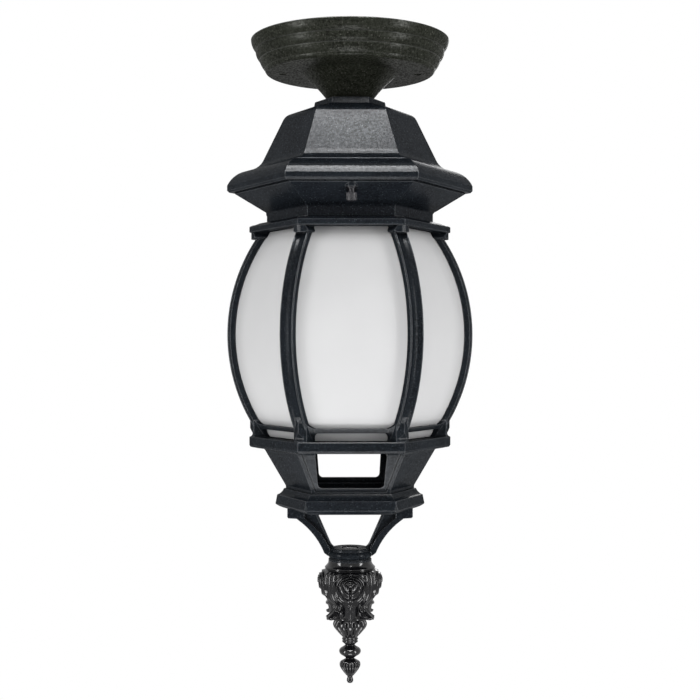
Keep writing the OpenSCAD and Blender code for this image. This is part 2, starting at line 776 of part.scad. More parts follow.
module thumb_screw(direction) {
    seat = z_rim - thumb_pad_h;
    neck = seat - 4;
    grooves = 18;
    color([0.12, 0.12, 0.12]) rotate([0, 0, direction]) translate([thumb_reach, 0, 0]) difference() {
        turned(concat(
            [[thumb_r - 0.5, z_rim + thumb_thread_l], [thumb_r, z_rim + thumb_thread_l - 0.6],
                [thumb_r, seat], [thumb_r + 1.4, seat], [thumb_r + 1.4, seat - 1],
                [thumb_r + 0.3, seat - 1.4], [thumb_r + 0.3, neck]],
            arc([thumb_head_r - 0.8, neck], [thumb_head_r, neck - 0.8], 0.2, 3),
            arc([thumb_head_r, neck - thumb_head_h + 1.2],
                [thumb_head_r - 1.4, neck - thumb_head_h], 0.4, 3)));
        for (i = [0 : grooves - 1]) rotate([0, 0, 360 * i / grooves])
            translate([thumb_head_r + 0.25, 0, 0]) bore(0.5, neck + 0.3, neck - thumb_head_h - eps);
    }
}

module thumb_screw_1() { thumb_screw(front); }

module thumb_screw_2() { thumb_screw(front + 2 * turn); }

module thumb_screw_3() { thumb_screw(front + 4 * turn); }

// ---------------------------------------------------------------- cage

module cage_top_rim() {
    color([0.2, 0.22, 0.24]) difference() {
        hexform([[rim_out_r - 10.4, z_cage], [rim_out_r - 6.4, z_cage - 0.8],
            [rim_out_r - 0.6, z_cage - 3], [rim_out_r, z_cage - 3.6], [rim_out_r, z_lip + 0.6],
            [rim_out_r - 0.6, z_lip]]);
        hexform([[opening_r, z_cage + eps], [opening_r, z_under], [lip_in_r, z_under],
            [lip_in_r, z_lip - eps]]);
        at_corners() translate([rib_screw_r, 0, 0]) {
            bore(screw_r + snug, z_lip - eps, z_cage);
            bore(recess_r, z_cage - top_recess_h, z_cage + eps);
        }
        at_faces() translate([collar_screw_a, 0, 0]) bore(screw_r + snug, z_cage - 6, z_cage + eps);
    }
}

// The space between two heights
module between(z_low, z_high) {
    translate([-2 * belly_r, -2 * belly_r, z_low]) cube([4 * belly_r, 4 * belly_r, z_high - z_low]);
}

// A bar with the ribs' bow on the +X corner, from a section of [depth, sideways] points
module rib_bar(section, z_low, z_high) {
    reach = asin((half_cage + 2) / (rib_arc_r - rib_depth - 2));
    intersection() {
        translate([arc_centre_r, 0, z_belly]) rotate([90, 0, 0]) rotate([0, 0, -reach])
            rotate_extrude(angle = 2 * reach, $fn = 360)
                polygon([for (p = section) [rib_arc_r - p[0], p[1]]]);
        between(z_low, z_high);
    }
}

// A level prism along the face on +X whose side view is the ring between two radii of the bend
module bent_band(r_out, r_in, z_low, z_high) {
    rotate([90, 0, 0]) linear_extrude(height = 2 * belly_r, center = true) intersection() {
        difference() {
            translate([pane_centre_a, z_belly]) circle(r = r_out, $fn = 360);
            translate([pane_centre_a, z_belly]) circle(r = r_in, $fn = 360);
        }
        translate([0, z_low]) square([2 * belly_r, z_high - z_low]);
    }
}

// The part of a face that keeps its distance from both corners
module face_wedge(keep, z_low, z_high) {
    x = keep / sin(half_turn);
    l = 2 * belly_r;
    translate([0, 0, z_low]) linear_extrude(height = z_high - z_low)
        polygon([[x, 0], [x + l * cos(half_turn), l * sin(half_turn)],
            [x + l * cos(half_turn), -l * sin(half_turn)]]);
}

// All that lies inside the panes' outer faces near the +X corner, with a gap added
module pane_side(gap) {
    intersection() {
        rotate([0, 0, half_turn]) bent_band(pane_r + gap, 1, z_foot - eps, z_lip + eps);
        rotate([0, 0, -half_turn]) bent_band(pane_r + gap, 1, z_foot - eps, z_lip + eps);
    }
}

rail_top = z_foot + rail_up + rail_h;
rail_low = z_foot + rail_up;

// Front view of a rib's foot: it spreads into the level bars on both sides
foot_top = rail_top + 8.4;
function foot_side(s) = concat(
    [for (p = arc([rib_w / 2 - 1, foot_top], [foot_reach, rail_top], -1.7, 5)) [s * p[0], p[1]]],
    [for (p = arc([foot_reach, rail_low], [foot_half_w, z_foot + 0.6], -0.9, 5)) [s * p[0], p[1]]],
    [[s * foot_half_w, z_foot]]);

module foot_outline() {
    right = clean(foot_side(1));
    left = clean(foot_side(-1));
    polygon(concat(right, [for (i = [len(left) - 1 : -1 : 0]) left[i]]));
}

module capital_outline() {
    top_half_w = capital_half_w - 1.9;
    neck_half_w = rib_w / 2 - 1;
    low = z_lip - capital_h;
    right = [[top_half_w, z_lip], [capital_half_w, low + 1.4], [capital_half_w, low + 0.4],
        [neck_half_w, low - 0.4]];
    polygon(concat(right, [for (i = [len(right) - 1 : -1 : 0]) [-right[i][0], right[i][1]]]));
}

// The corner of a hexagon prism on +X
module mitre(corner_r) {
    l = 2 * belly_r;
    back = corner_r - l * sin(half_turn);
    translate([0, 0, z_foot - eps]) linear_extrude(height = cage_h + 2 * eps)
        polygon([[corner_r, 0], [back, l * flat], [-l, l], [-l, -l], [back, -l * flat]]);
}

// Extrudes a front view of [sideways, z] points outward from the axis
module outward(from_r, to_r) {
    translate([from_r, 0, 0]) rotate([90, 0, 90]) linear_extrude(height = to_r - from_r) children();
}

module rib() {
    half = rib_w / 2;
    stem = stem_w / 2;
    inner = cage_end_r - foot_depth;
    rib_at_rail = arc_centre_r + sqrt(rib_arc_r * rib_arc_r - pow(rail_top - z_belly, 2));
    rib_low = cage_end_r + 3.4;
    cap = concat([[cap_depth, half], [4.6, half], [4.3, half - 0.5], [3.9, half - 0.5], [3.6, half]],
        arc([rib_round, half], [rib_round, -half], rib_round, 10),
        [[3.6, -half], [3.9, 0.5 - half], [4.3, 0.5 - half], [4.6, -half], [cap_depth, -half]]);
    difference() {
        union() {
            difference() {
                union() {
                    rib_bar(clean(cap), z_foot, z_lip);
                    // capital under the top rim, mitred like the rim
                    intersection() {
                        outward(inner, cage_end_r + 4.6) capital_outline();
                        mitre(rim_out_r - 0.8);
                    }
                    // foot on the bottom rim, flared at its outer face
                    intersection() {
                        outward(inner, rim_out_r) foot_outline();
                        mitre(rim_out_r - 0.6);
                        rotate([90, 0, 0]) linear_extrude(height = 2 * foot_half_w, center = true)
                            polygon(concat([[inner, z_foot], [inner, foot_top + 2],
                                [rib_at_rail + 2, foot_top + 2]],
                                arc([rib_at_rail + 0.6, rail_top], [rib_low, z_foot + 3], 0.2, 3),
                                arc([rib_low, z_foot + 3], [rim_out_r - 0.8, z_foot], -0.6, 4)));
                    }
                    // spurs of the foot that carry on the line of the level bars
                    for (s = [-1, 1]) intersection() {
                        rotate([0, 0, s * half_turn])
                            bent_band(pane_r + pane_gap + rail_d, pane_r - 1, z_foot, foot_top + 2);
                        outward(inner, rim_out_r) foot_outline();
                        translate([inner, s > 0 ? 0 : -2 * foot_reach, z_foot])
                            cube([rim_out_r - inner, 2 * foot_reach, foot_top - z_foot]);
                    }
                }
                pane_side(pane_gap);
            }
            // stem between the panes
            rib_bar([[5, stem], [5, -stem], [rib_depth, -stem], [rib_depth, stem]], z_foot, z_lip);
        }
        translate([rib_screw_r, 0, 0]) {
            bore(screw_r + snug, z_foot - eps, z_foot + rib_screw_grip + 0.6);
            bore(screw_r + snug, z_lip + eps, z_lip - rib_screw_grip - 0.6);
        }
    }
}

module rib_at(i) { color([0.22, 0.24, 0.25]) rotate([0, 0, turn * (i - 1)]) rib(); }

module glass_panel(i) {
    z_low = z_foot + pane_gap;
    z_high = z_under - pane_gap;
    color([0.87, 0.87, 0.87, 0.5]) rotate([0, 0, front + turn * (i - 1)]) intersection() {
        bent_band(pane_r, pane_r - pane_t, z_low, z_high);
        face_wedge(stem_w / 2 + pane_gap, z_low - eps, z_high + eps);
    }
}

module glass_rails() {
    color([0.28, 0.32, 0.33]) at_faces() intersection() {
        bent_band(pane_r + pane_gap + rail_d, pane_r + pane_gap, rail_low, rail_top);
        face_wedge(foot_reach, rail_low - eps, rail_top + eps);
    }
}

// A spring clip grips a rib's stem and bears on the inner faces of the two panes beside it
module panel_clips() {
    stem = stem_w / 2;
    wing = 6.5;
    back = rib_depth + clip_t;
    pane_depth = pane_set + (pane_t + pane_gap) / flat;
    strip = clip_t / flat;
    slope = tan(half_turn);
    grip = stem + clip_t;
    right = [[back, grip], [pane_depth + strip + grip * slope, grip],
        [pane_depth + strip + wing * slope, wing], [pane_depth + wing * slope - 1, wing],
        [pane_depth - 1, stem], [rib_depth, stem]];
    section = concat(right, [for (i = [len(right) - 1 : -1 : 0]) [right[i][0], -right[i][1]]]);
    color([0.7, 0.7, 0.68]) at_corners() for (s = [-1, 1]) intersection() {
        rib_bar(section, z_belly + s * clip_offset - clip_l / 2, z_belly + s * clip_offset + clip_l / 2);
        pane_side(-pane_t - pane_gap);
    }
}

module rib_screws_top() {
    color([0.3, 0.3, 0.3]) at_corners() translate([rib_screw_r, 0, z_cage - top_recess_h])
        screw(top_rim_h - top_recess_h + rib_screw_grip);
}

module rib_screws_bottom() {
    color([0.3, 0.3, 0.3]) at_corners() translate([rib_screw_r, 0, z_skirt + recess_h])
        screw(bottom_rim_h - recess_h + rib_screw_grip, true);
}

module cage_bottom_rim() {
    color([0.2, 0.22, 0.24]) difference() {
        hexform([[rim_out_r - 0.5, z_foot], [rim_out_r, z_foot - 0.5], [rim_out_r, z_skirt + 2.2],
            [rim_out_r - 1, z_skirt + 0.7], [rim_out_r - 4, z_skirt]]);
        hexform([[opening_r, z_foot + eps], [opening_r, z_skirt - eps]]);
        at_corners() translate([rib_screw_r, 0, 0]) {
            bore(screw_r + snug, z_skirt, z_foot + eps);
            bore(recess_r, z_skirt - eps, z_skirt + recess_h);
        }
        at_faces([1, 2, 4, 5]) translate([skirt_screw_a, 0, 0])
            bore(screw_r + snug, z_skirt - eps, z_skirt + 6);
    }
}

// ---------------------------------------------------------------- base

function skirt_side(z) = skirt_r + (skirt_low_r - skirt_r) * (z_skirt - z) / (skirt_h - 2.4);

module skirt() {
    wall_r = skirt_wall / cos(atan((skirt_r - skirt_low_r) / skirt_h)) / flat;
    z_flange = z_skirt - flange_t;
    z_straight = z_base + 2.4;
    window_low = z_skirt - window_h;
    corner = 3;
    side_x = window_low_half_w + 0.3;
    floor_x = window_low_half_w - corner;
    outside = concat(
        arc([skirt_r + 0.8, z_skirt], [skirt_side(z_skirt - 2.4), z_skirt - 2.4], -0.2, 4),
        [[skirt_low_r, z_straight], [skirt_low_r - 0.2, z_base]]);
    color([0.24, 0.26, 0.28]) difference() {
        union() {
            difference() {
                hexform(outside, base_front);
                hexform([[opening_r, z_skirt + eps], [opening_r, z_flange - eps]]);
                hexform([[skirt_side(z_flange) - wall_r, z_flange],
                    [skirt_low_r - wall_r, z_straight], [skirt_low_r - wall_r, z_base - eps]], base_front);
            }
            at_slants() translate([base_screw_a, 0, 0]) difference() {
                bore(4.2, z_base, z_base + 12);
                translate([skirt_wall + 1.2, -6, z_base - eps]) cube([12, 12, 20]);
            }
        }
        rotate([90, 0, 0]) linear_extrude(height = 3 * skirt_r, center = true)
            polygon(concat([[-window_half_w, z_skirt + eps], [window_half_w, z_skirt + eps]],
                arc([side_x, window_low + corner], [floor_x, window_low], 0.8, 4),
                arc([-floor_x, window_low], [-side_x, window_low + corner], 0.8, 4)));
        difference() {
            rotate([90, 0, 0]) linear_extrude(height = 3 * skirt_r, center = true) frame_groove();
            hexform(concat([[skirt_r, z_skirt + 2 * eps]],
                [for (q = outside) [q[0] - skirt_groove_d / flat, q[1]]],
                [[skirt_low_r - 0.2 - skirt_groove_d / flat, z_base - eps]]), base_front);
        }
        at_faces([1, 2, 4, 5]) translate([skirt_screw_a, 0, 0])
            bore(screw_r + snug, z_flange - eps, z_skirt + eps);
        at_slants() translate([base_screw_a, 0, 0]) bore(screw_r + snug, z_base - eps, z_base + 9);
    }
}

// Front view of the groove that runs down one front corner, along the sill and up the other
module frame_groove() {
    z_top = z_skirt + eps;
    z_low = z_base + 1;
    z_sill = z_low + groove_w;
    outer_top = base_front * skirt_side(z_top) - bead_w;
    outer_low = base_front * skirt_side(z_low) - bead_w;
    inner_low = base_front * skirt_side(z_sill) - bead_w - groove_w;
    polygon([[-outer_top, z_top], [-outer_low, z_low], [outer_low, z_low], [outer_top, z_top],
        [outer_top - groove_w, z_top], [inner_low, z_sill], [-inner_low, z_sill],
        [groove_w - outer_top, z_top]]);
}

module skirt_screws() {
    color([0.3, 0.3, 0.3]) at_faces([1, 2, 4, 5]) translate([skirt_screw_a, 0, z_skirt - flange_t])
        screw(flange_t + 5, true);
}

module base_ring() {
    z_plate_top = z_bracket + base_plate_t;
    z_edge = z_bracket + base_bevel_h;
    in_r = skirt_low_r - 4.4;
    color([0.17, 0.19, 0.21]) difference() {
        union() {
            difference() {
                hexform(concat(
                    [[skirt_low_r + 1.4, z_base], [skirt_low_r + 1.8, z_base - 0.8]],
                    arc([skirt_low_r + 1.8, z_base - 0.8], [base_r - 1.4, z_base - base_slope_h], -0.7, 4),
                    [[base_r, z_edge + 0.6], [base_r - 0.6, z_edge]],
                    arc([base_r - 0.6, z_edge], [base_r - 9.2, z_bracket], 0.6, 3)), base_front);
                hexform([[in_r, z_base + eps], [in_r, z_plate_top]], base_front);
            }
            for (side = [0, 180]) rotate([0, 0, side])
                translate([arm_foot_r - 5, 0, 0]) bore(5, z_bracket, z_plate_top + 4);
        }
        bore(base_hole_r, z_bracket - eps, z_plate_top + eps);
        for (side = [0, 180]) rotate([0, 0, side])
            translate([arm_foot_r - 5, 0, 0]) bore(screw_r + snug, z_bracket - eps, z_plate_top + 3);
        at_slants() translate([base_screw_a, 0, 0]) {
            bore(screw_r + snug, z_bracket - eps, z_plate_top + eps);
            bore(recess_r, z_bracket - eps, z_bracket + head_h + 0.2);
        }
    }
}

module base_screws() {
    color([0.3, 0.3, 0.3]) at_slants() translate([base_screw_a, 0, z_bracket + head_h + 0.2])
        screw(base_h - head_h - 0.2 + 8, true);
}

// ---------------------------------------------------------------- finial bracket and finial

arm_foot_z = z_bracket - arm_foot_h;

// Side view of one arm as [distance from the axis, z] points: its outer edge, then its inner edge
function arm_outer() = concat(
    [[arm_foot_r, z_bracket], [arm_foot_r, arm_foot_z + 1]],
    [[arm_foot_r - 1, arm_foot_z], [arm_foot_r - 7.5, arm_foot_z - 0.4]],
    arc([arm_foot_r - 8.4, arm_foot_z - 1.2], [hub_r + 3.4, z_finial + 6.4], -2.4, 10),
    [[hub_r + 0.6, z_finial + 4.2]]);

function arm_inner() = concat(
    arc([8, z_hub - 0.4], [15.5, z_hub + 3.4], -1.4, 5),
    [[arm_inner_r - 1.8, z_bracket - 3.2], [arm_inner_r, z_bracket]]);

module finial_bracket() {
    flange_t_arm = 5.2;
    lip_t = 1.6;
    outer = arm_outer();
    web = clean(concat(outer, [[8, z_finial + 4.2]], arm_inner()));
    color([0.18, 0.2, 0.22]) difference() {
        union() {
            for (side = [0, 180]) rotate([0, 0, side]) {
                rotate([90, 0, 0]) linear_extrude(height = arm_web_t, center = true) polygon(web);
                // broad outer flange
                rotate([90, 0, 0]) linear_extrude(height = arm_w, center = true)
                    polygon(clean(concat(outer, [for (i = [len(outer) - 1 : -1 : 4])
                        outer[i] + [-flange_t_arm, 1.2]], [[arm_foot_r - 13, z_bracket]])));
                // rounded bead along the inner edge
                rotate([90, 0, 0]) linear_extrude(height = arm_web_t + 2.4, center = true)
                    polygon([[14.3, z_hub + 1.5], [15.5, z_hub + 3.4], [arm_inner_r - 1.8, z_bracket - 3.2],
                        [arm_inner_r, z_bracket], [arm_inner_r + lip_t, z_bracket],
                        [arm_inner_r - 1.8 + lip_t, z_bracket - 3.2], [15.5 + lip_t, z_hub + 3.4]]);
            }
            turned(concat(
                [[hub_r - 2.4, z_hub - 0.4], [hub_r - 1.6, z_hub - 1.2], [hub_r - 1.6, z_hub - 2.6]],
                arc([hub_r - 0.8, z_hub - 3], [hub_r - 0.8, z_hub - 8], 1.4, 6),
                [[hub_r - 1.6, z_hub - 8.6], [hub_r, z_hub - 9.2], [hub_r, z_finial]]));
        }
        bore(stud_r + snug, z_finial - eps, z_hub);
        bore(7.2, z_hub - 5.6, z_hub + eps);
        for (side = [0, 180]) rotate([0, 0, side]) translate([arm_foot_r - 5, 0, 0]) {
            bore(screw_r + snug, arm_foot_z - eps, z_bracket + eps);
            bore(recess_r, arm_foot_z - eps, arm_foot_z + recess_h);
        }
    }
}

module finial_bracket_screws() {
    color([0.3, 0.3, 0.3]) for (side = [0, 180]) rotate([0, 0, side])
        translate([arm_foot_r - 5, 0, arm_foot_z + recess_h])
            screw(arm_foot_h - recess_h + base_plate_t + 2.5, true);
}

module finial_nut() {
    color([0.7, 0.7, 0.68]) translate([0, 0, z_hub - 5.6]) hex_nut(6.4, 4.6, stud_r + 0.02);
}

module finial_stud() {
    color([0.7, 0.7, 0.68]) bore(stud_r, z_finial - 24, z_hub - 0.8);
}

module finial() {
    color([0.08, 0.08, 0.08]) difference() {
        union() {
            turned(concat(
                [[hub_r, z_finial], [hub_r + 0.2, z_finial - 0.6]],
                arc([hub_r + 0.6, z_finial - 1], [bulb_r, z_finial - 9], 0.8, 5),
                arc([bulb_r, z_finial - 9], [bulb_r - 2.4, z_finial - 23], 1, 6),
                arc([bulb_r - 2.4, z_finial - 23], [16.4, z_finial - 32.5], -0.8, 4),
                [[16.4, z_finial - bulb_h - 0.4], [16.9, z_drop - 2.4], [16.6, z_drop - 7]],
                arc([16.6, z_drop - 7], [11.2, z_drop - 9.6], -0.4, 3),
                arc([11.2, z_drop - 9.6], [9.2, z_drop - 21.6], 2.9, 8),
                arc([9.2, z_drop - 21.6], [5.2, z_drop - 29], -0.6, 4),
                [[5.2, z_drop - 31.2]],
                arc([5.2, z_drop - 31.2], [4, z_drop - 40.8], 3.6, 6),
                arc([4, z_drop - 40.8], [3.6, z_drop - 52.8], 3.6, 8),
                [[2.6, z_drop - 55.2], [1.6, z_drop - 57.4]],
                arc([1.2, z_drop - 57.6], [0.3, z_tip], 2.3, 8)));
            for (i = [0 : 3]) rotate([0, 0, 90 * i]) {
                scroll();
                leaf();
            }
        }
        bore(stud_r + snug, z_finial - 25, z_finial + eps);
    }
}

// A disc with concentric rolls, facing outward on the bulb
module scroll() {
    reach = bulb_r + scroll_proud - 3.2;
    translate([0, 0, z_finial - 16.5]) rotate([0, 90, 0]) rotate_extrude()
        polygon(clean(concat([[0, bulb_r - 10], [scroll_r, bulb_r - 10], [scroll_r, reach - 1]],
            arc([scroll_r, reach - 1], [scroll_r - 3, reach - 0.2], 0.9, 4),
            arc([scroll_r - 3, reach], [scroll_r - 6.4, reach + 0.8], 0.9, 4),
            arc([scroll_r - 6.4, reach + 0.8], [0, reach + 2.4], 0.9, 6))));
}

// A leaf that springs from the bulb and curls outward at its tip
module leaf() {
    rotate([0, 0, 45 - leaf_spread / 2]) rotate_extrude(angle = leaf_spread) polygon(clean(concat(
        [[10, z_drop + 8]],
        arc([bulb_r - 5.8, z_drop + 8], [leaf_r, z_drop - 6], -1.4, 6),
        [[leaf_r - 1.2, z_drop - 7.4]],
        arc([leaf_r - 1.2, z_drop - 7.4], [13, z_drop - 3.4], -1, 4),
        [[10, z_drop - 3.4]])));
}

// ---------------------------------------------------------------- the pieces

canopy();
canopy_gasket();
terminal_block();
terminal_screws();
earth_screw();
stem_nipple();
stem_washer();
stem_top_nut();
stem_bottom_nut();
roof();
lampholder_bracket();
bracket_screws();
lampholder_body();
lampholder_shell();
lampholder_contact();
live_wire();
neutral_wire();
earth_wire();
collar();
collar_screws();
thumb_screw_1();
thumb_screw_2();
thumb_screw_3();
cage_top_rim();
rib_at(1);  // rib_1
rib_at(2);  // rib_2
rib_at(3);  // rib_3
rib_at(4);  // rib_4
rib_at(5);  // rib_5
rib_at(6);  // rib_6
glass_panel(1);  // glass_panel_1
glass_panel(2);  // glass_panel_2
glass_panel(3);  // glass_panel_3
glass_panel(4);  // glass_panel_4
glass_panel(5);  // glass_panel_5
glass_panel(6);  // glass_panel_6
panel_clips();
glass_rails();
rib_screws_top();
rib_screws_bottom();
cage_bottom_rim();
skirt();
skirt_screws();
base_ring();
base_screws();
finial_bracket();
finial_bracket_screws();
finial();
finial_stud();
finial_nut();
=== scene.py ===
"""Looks of a porch ceiling lantern: its finishes, its carved finial, the studio and the camera.

The lantern hangs from the origin, which lies on the ceiling. Z is up and the front face looks
along -Y. Lengths are metres; sizes that a maker would know are written in millimetres times MM.
"""

from __future__ import annotations

import json
import logging
import math
from dataclasses import dataclass, field
from enum import Enum
from typing import ClassVar

import bpy
import numpy as np
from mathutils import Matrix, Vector

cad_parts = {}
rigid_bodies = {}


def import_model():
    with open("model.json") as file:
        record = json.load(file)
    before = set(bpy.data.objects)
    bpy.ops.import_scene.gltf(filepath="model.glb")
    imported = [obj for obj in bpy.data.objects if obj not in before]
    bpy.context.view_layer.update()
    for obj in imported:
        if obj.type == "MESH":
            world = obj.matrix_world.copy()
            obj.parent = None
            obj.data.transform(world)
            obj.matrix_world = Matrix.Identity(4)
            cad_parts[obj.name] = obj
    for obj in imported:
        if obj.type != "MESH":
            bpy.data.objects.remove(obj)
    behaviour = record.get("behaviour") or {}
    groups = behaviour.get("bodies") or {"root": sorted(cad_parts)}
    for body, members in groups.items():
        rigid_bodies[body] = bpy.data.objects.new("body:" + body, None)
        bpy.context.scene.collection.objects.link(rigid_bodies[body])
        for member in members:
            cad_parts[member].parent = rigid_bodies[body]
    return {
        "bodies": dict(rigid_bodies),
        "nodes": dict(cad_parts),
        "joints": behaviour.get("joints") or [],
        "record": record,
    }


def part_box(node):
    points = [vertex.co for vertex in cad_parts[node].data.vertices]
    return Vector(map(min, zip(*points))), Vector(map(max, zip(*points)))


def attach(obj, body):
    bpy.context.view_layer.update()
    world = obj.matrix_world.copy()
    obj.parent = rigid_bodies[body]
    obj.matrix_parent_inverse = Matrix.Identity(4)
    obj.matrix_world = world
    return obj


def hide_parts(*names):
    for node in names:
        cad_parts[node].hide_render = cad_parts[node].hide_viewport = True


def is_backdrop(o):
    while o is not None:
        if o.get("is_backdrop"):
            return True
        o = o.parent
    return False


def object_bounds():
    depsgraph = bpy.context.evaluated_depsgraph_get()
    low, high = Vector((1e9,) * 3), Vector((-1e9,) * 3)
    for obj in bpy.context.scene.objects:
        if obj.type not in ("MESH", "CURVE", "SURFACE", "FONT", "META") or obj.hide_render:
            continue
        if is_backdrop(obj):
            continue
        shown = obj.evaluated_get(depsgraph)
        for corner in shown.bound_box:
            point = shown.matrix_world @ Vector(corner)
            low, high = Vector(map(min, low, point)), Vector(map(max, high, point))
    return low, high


LOG = logging.getLogger("lantern")
MM = 0.001
Colour = tuple[float, float, float]
Rgba = tuple[float, float, float, float]
Socket = bpy.types.NodeSocket


class Side(Enum):
    """The lantern's two assemblies: the one on the ceiling and the cage that comes off."""

    FIXED = "fixed_part"
    CAGE = "cage"


class Grain(Enum):
    """How coarse a paint's texture is: the size of a grain in metres, and the bump's height."""

    COARSE = (1.8 * MM, 0.10 * MM)
    FINE = (1.6 * MM, 0.07 * MM)
    SMOOTH = (2.4 * MM, 0.02 * MM)


# ---------------------------------------------------------------- node graphs


def shade(colour: Colour, share: float = 1.0, lift: float = 0.0) -> Rgba:
    """Darkens or lightens a colour.

    Args:
        colour: The colour.
        share: What each channel is multiplied by.
        lift: What is then added to each.

    Returns:
        The new colour with full alpha.
    """
    red, green, blue = (lift + share * channel for channel in colour)
    return (red, green, blue, 1.0)


class Graph:
    """Adds and joins the nodes of one material, world or node group."""

    def __init__(self, tree: bpy.types.NodeTree) -> None:
        """Starts on an empty tree.

        Args:
            tree: The node tree to fill.
        """
        self.tree = tree
        tree.nodes.clear()

    def add(self, kind: str, **settings: object) -> bpy.types.Node:
        """Adds one node.

        Args:
            kind: The node's type name, without its ShaderNode prefix.
            **settings: Properties to set, or inputs by name with spaces as underscores.

        Returns:
            The new node.
        """
        node = self.tree.nodes.new("ShaderNode" + kind)
        for name, value in settings.items():
            if hasattr(node, name):
                setattr(node, name, value)
            else:
                self.feed(node.inputs[name.replace("_", " ")], value)
        return node

    def feed(self, socket: Socket, value: object) -> None:
        """Joins a socket to another one, or sets its own value.

        Args:
            socket: The input to feed.
            value: An output socket, or a plain value.
        """
        if isinstance(value, Socket):
            self.tree.links.new(value, socket)
        else:
            socket.default_value = value

    def calc(self, operation: str, a: object, b: object = 0.0, clamp: bool = False) -> Socket:
        """Adds a Math node.

        Args:
            operation: The node's operation.
            a: First number or socket.
            b: Second number or socket.
            clamp: Whether the result is held between 0 and 1.

        Returns:
            The result's socket.
        """
        node = self.add("Math", operation=operation, use_clamp=clamp)
        self.feed(node.inputs[0], a)
        self.feed(node.inputs[1], b)
        return node.outputs[0]

    def ramp(self, value: object, low: float, high: float,
             to_low: float = 0.0, to_high: float = 1.0) -> Socket:
        """Maps a range of values smoothly onto another.

        Args:
            value: The socket to map.
            low: Value that becomes to_low.
            high: Value that becomes to_high.
            to_low: Result at low.
            to_high: Result at high.

        Returns:
            The result's socket.
        """
        node = self.add("MapRange", interpolation_type="SMOOTHSTEP")
        for name, number in (("Value", value), ("From Min", low), ("From Max", high),
                             ("To Min", to_low), ("To Max", to_high)):
            self.feed(node.inputs[name], number)
        return node.outputs["Result"]

    def blend(self, factor: object, a: object, b: object) -> Socket:
        """Mixes two colours.

        Args:
            factor: Share of b.
            a: First colour.
            b: Second colour.

        Returns:
            The mixed colour's socket.
        """
        node = self.add("Mix", data_type="RGBA")
        # a Mix node keeps its colour sockets behind those for numbers and vectors
        for index, value in ((0, factor), (6, a), (7, b)):
            self.feed(node.inputs[index], value)
        return node.outputs[2]

    def tint(self, mask: Socket, strength: float, a: object, b: object) -> Socket:
        """Mixes two colours through a mask that is weakened first.

        Args:
            mask: Where b shows.
            strength: How much of b shows where the mask is 1.
            a: First colour.
            b: Second colour.

        Returns:
            The mixed colour's socket.
        """
        return self.blend(self.calc("MULTIPLY", mask, strength), a, b)

    def noise(self, where: Socket, size: object, detail: float = 2.0,
              rough: float = 0.5) -> Socket:
        """Adds noise whose lumps have a given size.

        Args:
            where: Coordinates, in metres.
            size: Size of a lump in metres, or a socket that gives it.
            detail: Octaves.
            rough: Share that each finer octave keeps.

        Returns:
            The noise's factor.
        """
        scale = self.calc("DIVIDE", 1.0, size)
        node = self.add("TexNoise", Vector=where, Scale=scale, Detail=detail, Roughness=rough)
        return node.outputs["Fac"]

    def emboss(self, shader: bpy.types.Node, height: Socket, **settings: object) -> None:
        """Presses a height in metres into a shader's surface.

        Args:
            shader: The shader whose normal is fed.
            height: The height.
            **settings: Further inputs of the Bump node.
        """
        bump = self.add("Bump", Height=height, Distance=1.0, **settings)
        self.feed(shader.inputs["Normal"], bump.outputs["Normal"])


class Effect:
    """A node group with named sockets that several finishes share."""

    title = "effect"
    takes: dict[str, tuple[str, float]] = {}
    gives: dict[str, str] = {}

    def __init__(self) -> None:
        """Makes the group and its sockets, then fills it."""
        self.group = bpy.data.node_groups.new(self.title, "ShaderNodeTree")
        graph = Graph(self.group)
        for name, (kind, value) in self.takes.items():
            socket = self.group.interface.new_socket(name, in_out="INPUT", socket_type=kind)
            socket.default_value = value
        for name, kind in self.gives.items():
            self.group.interface.new_socket(name, in_out="OUTPUT", socket_type=kind)
        start = self.group.nodes.new("NodeGroupInput")
        end = self.group.nodes.new("NodeGroupOutput")
        self.fill(graph, start.outputs, end.inputs)

    def fill(self, graph: Graph, given: object, result: object) -> None:
        """Builds the effect's nodes.

        Args:
            graph: The group's graph.
            given: The group's inputs, by name.
            result: The sockets to feed, by name.
        """
        raise NotImplementedError

    def place(self, graph: Graph, **values: object) -> object:
        """Puts the group into a material.

        Args:
            graph: The material's graph.
            **values: The group's inputs by name, with spaces as underscores.

        Returns:
            The group's outputs, by name.
        """
        node = graph.tree.nodes.new("ShaderNodeGroup")
        node.node_tree = self.group
        for name, value in values.items():
            graph.feed(node.inputs[name.replace("_", " ")], value)
        return node.outputs


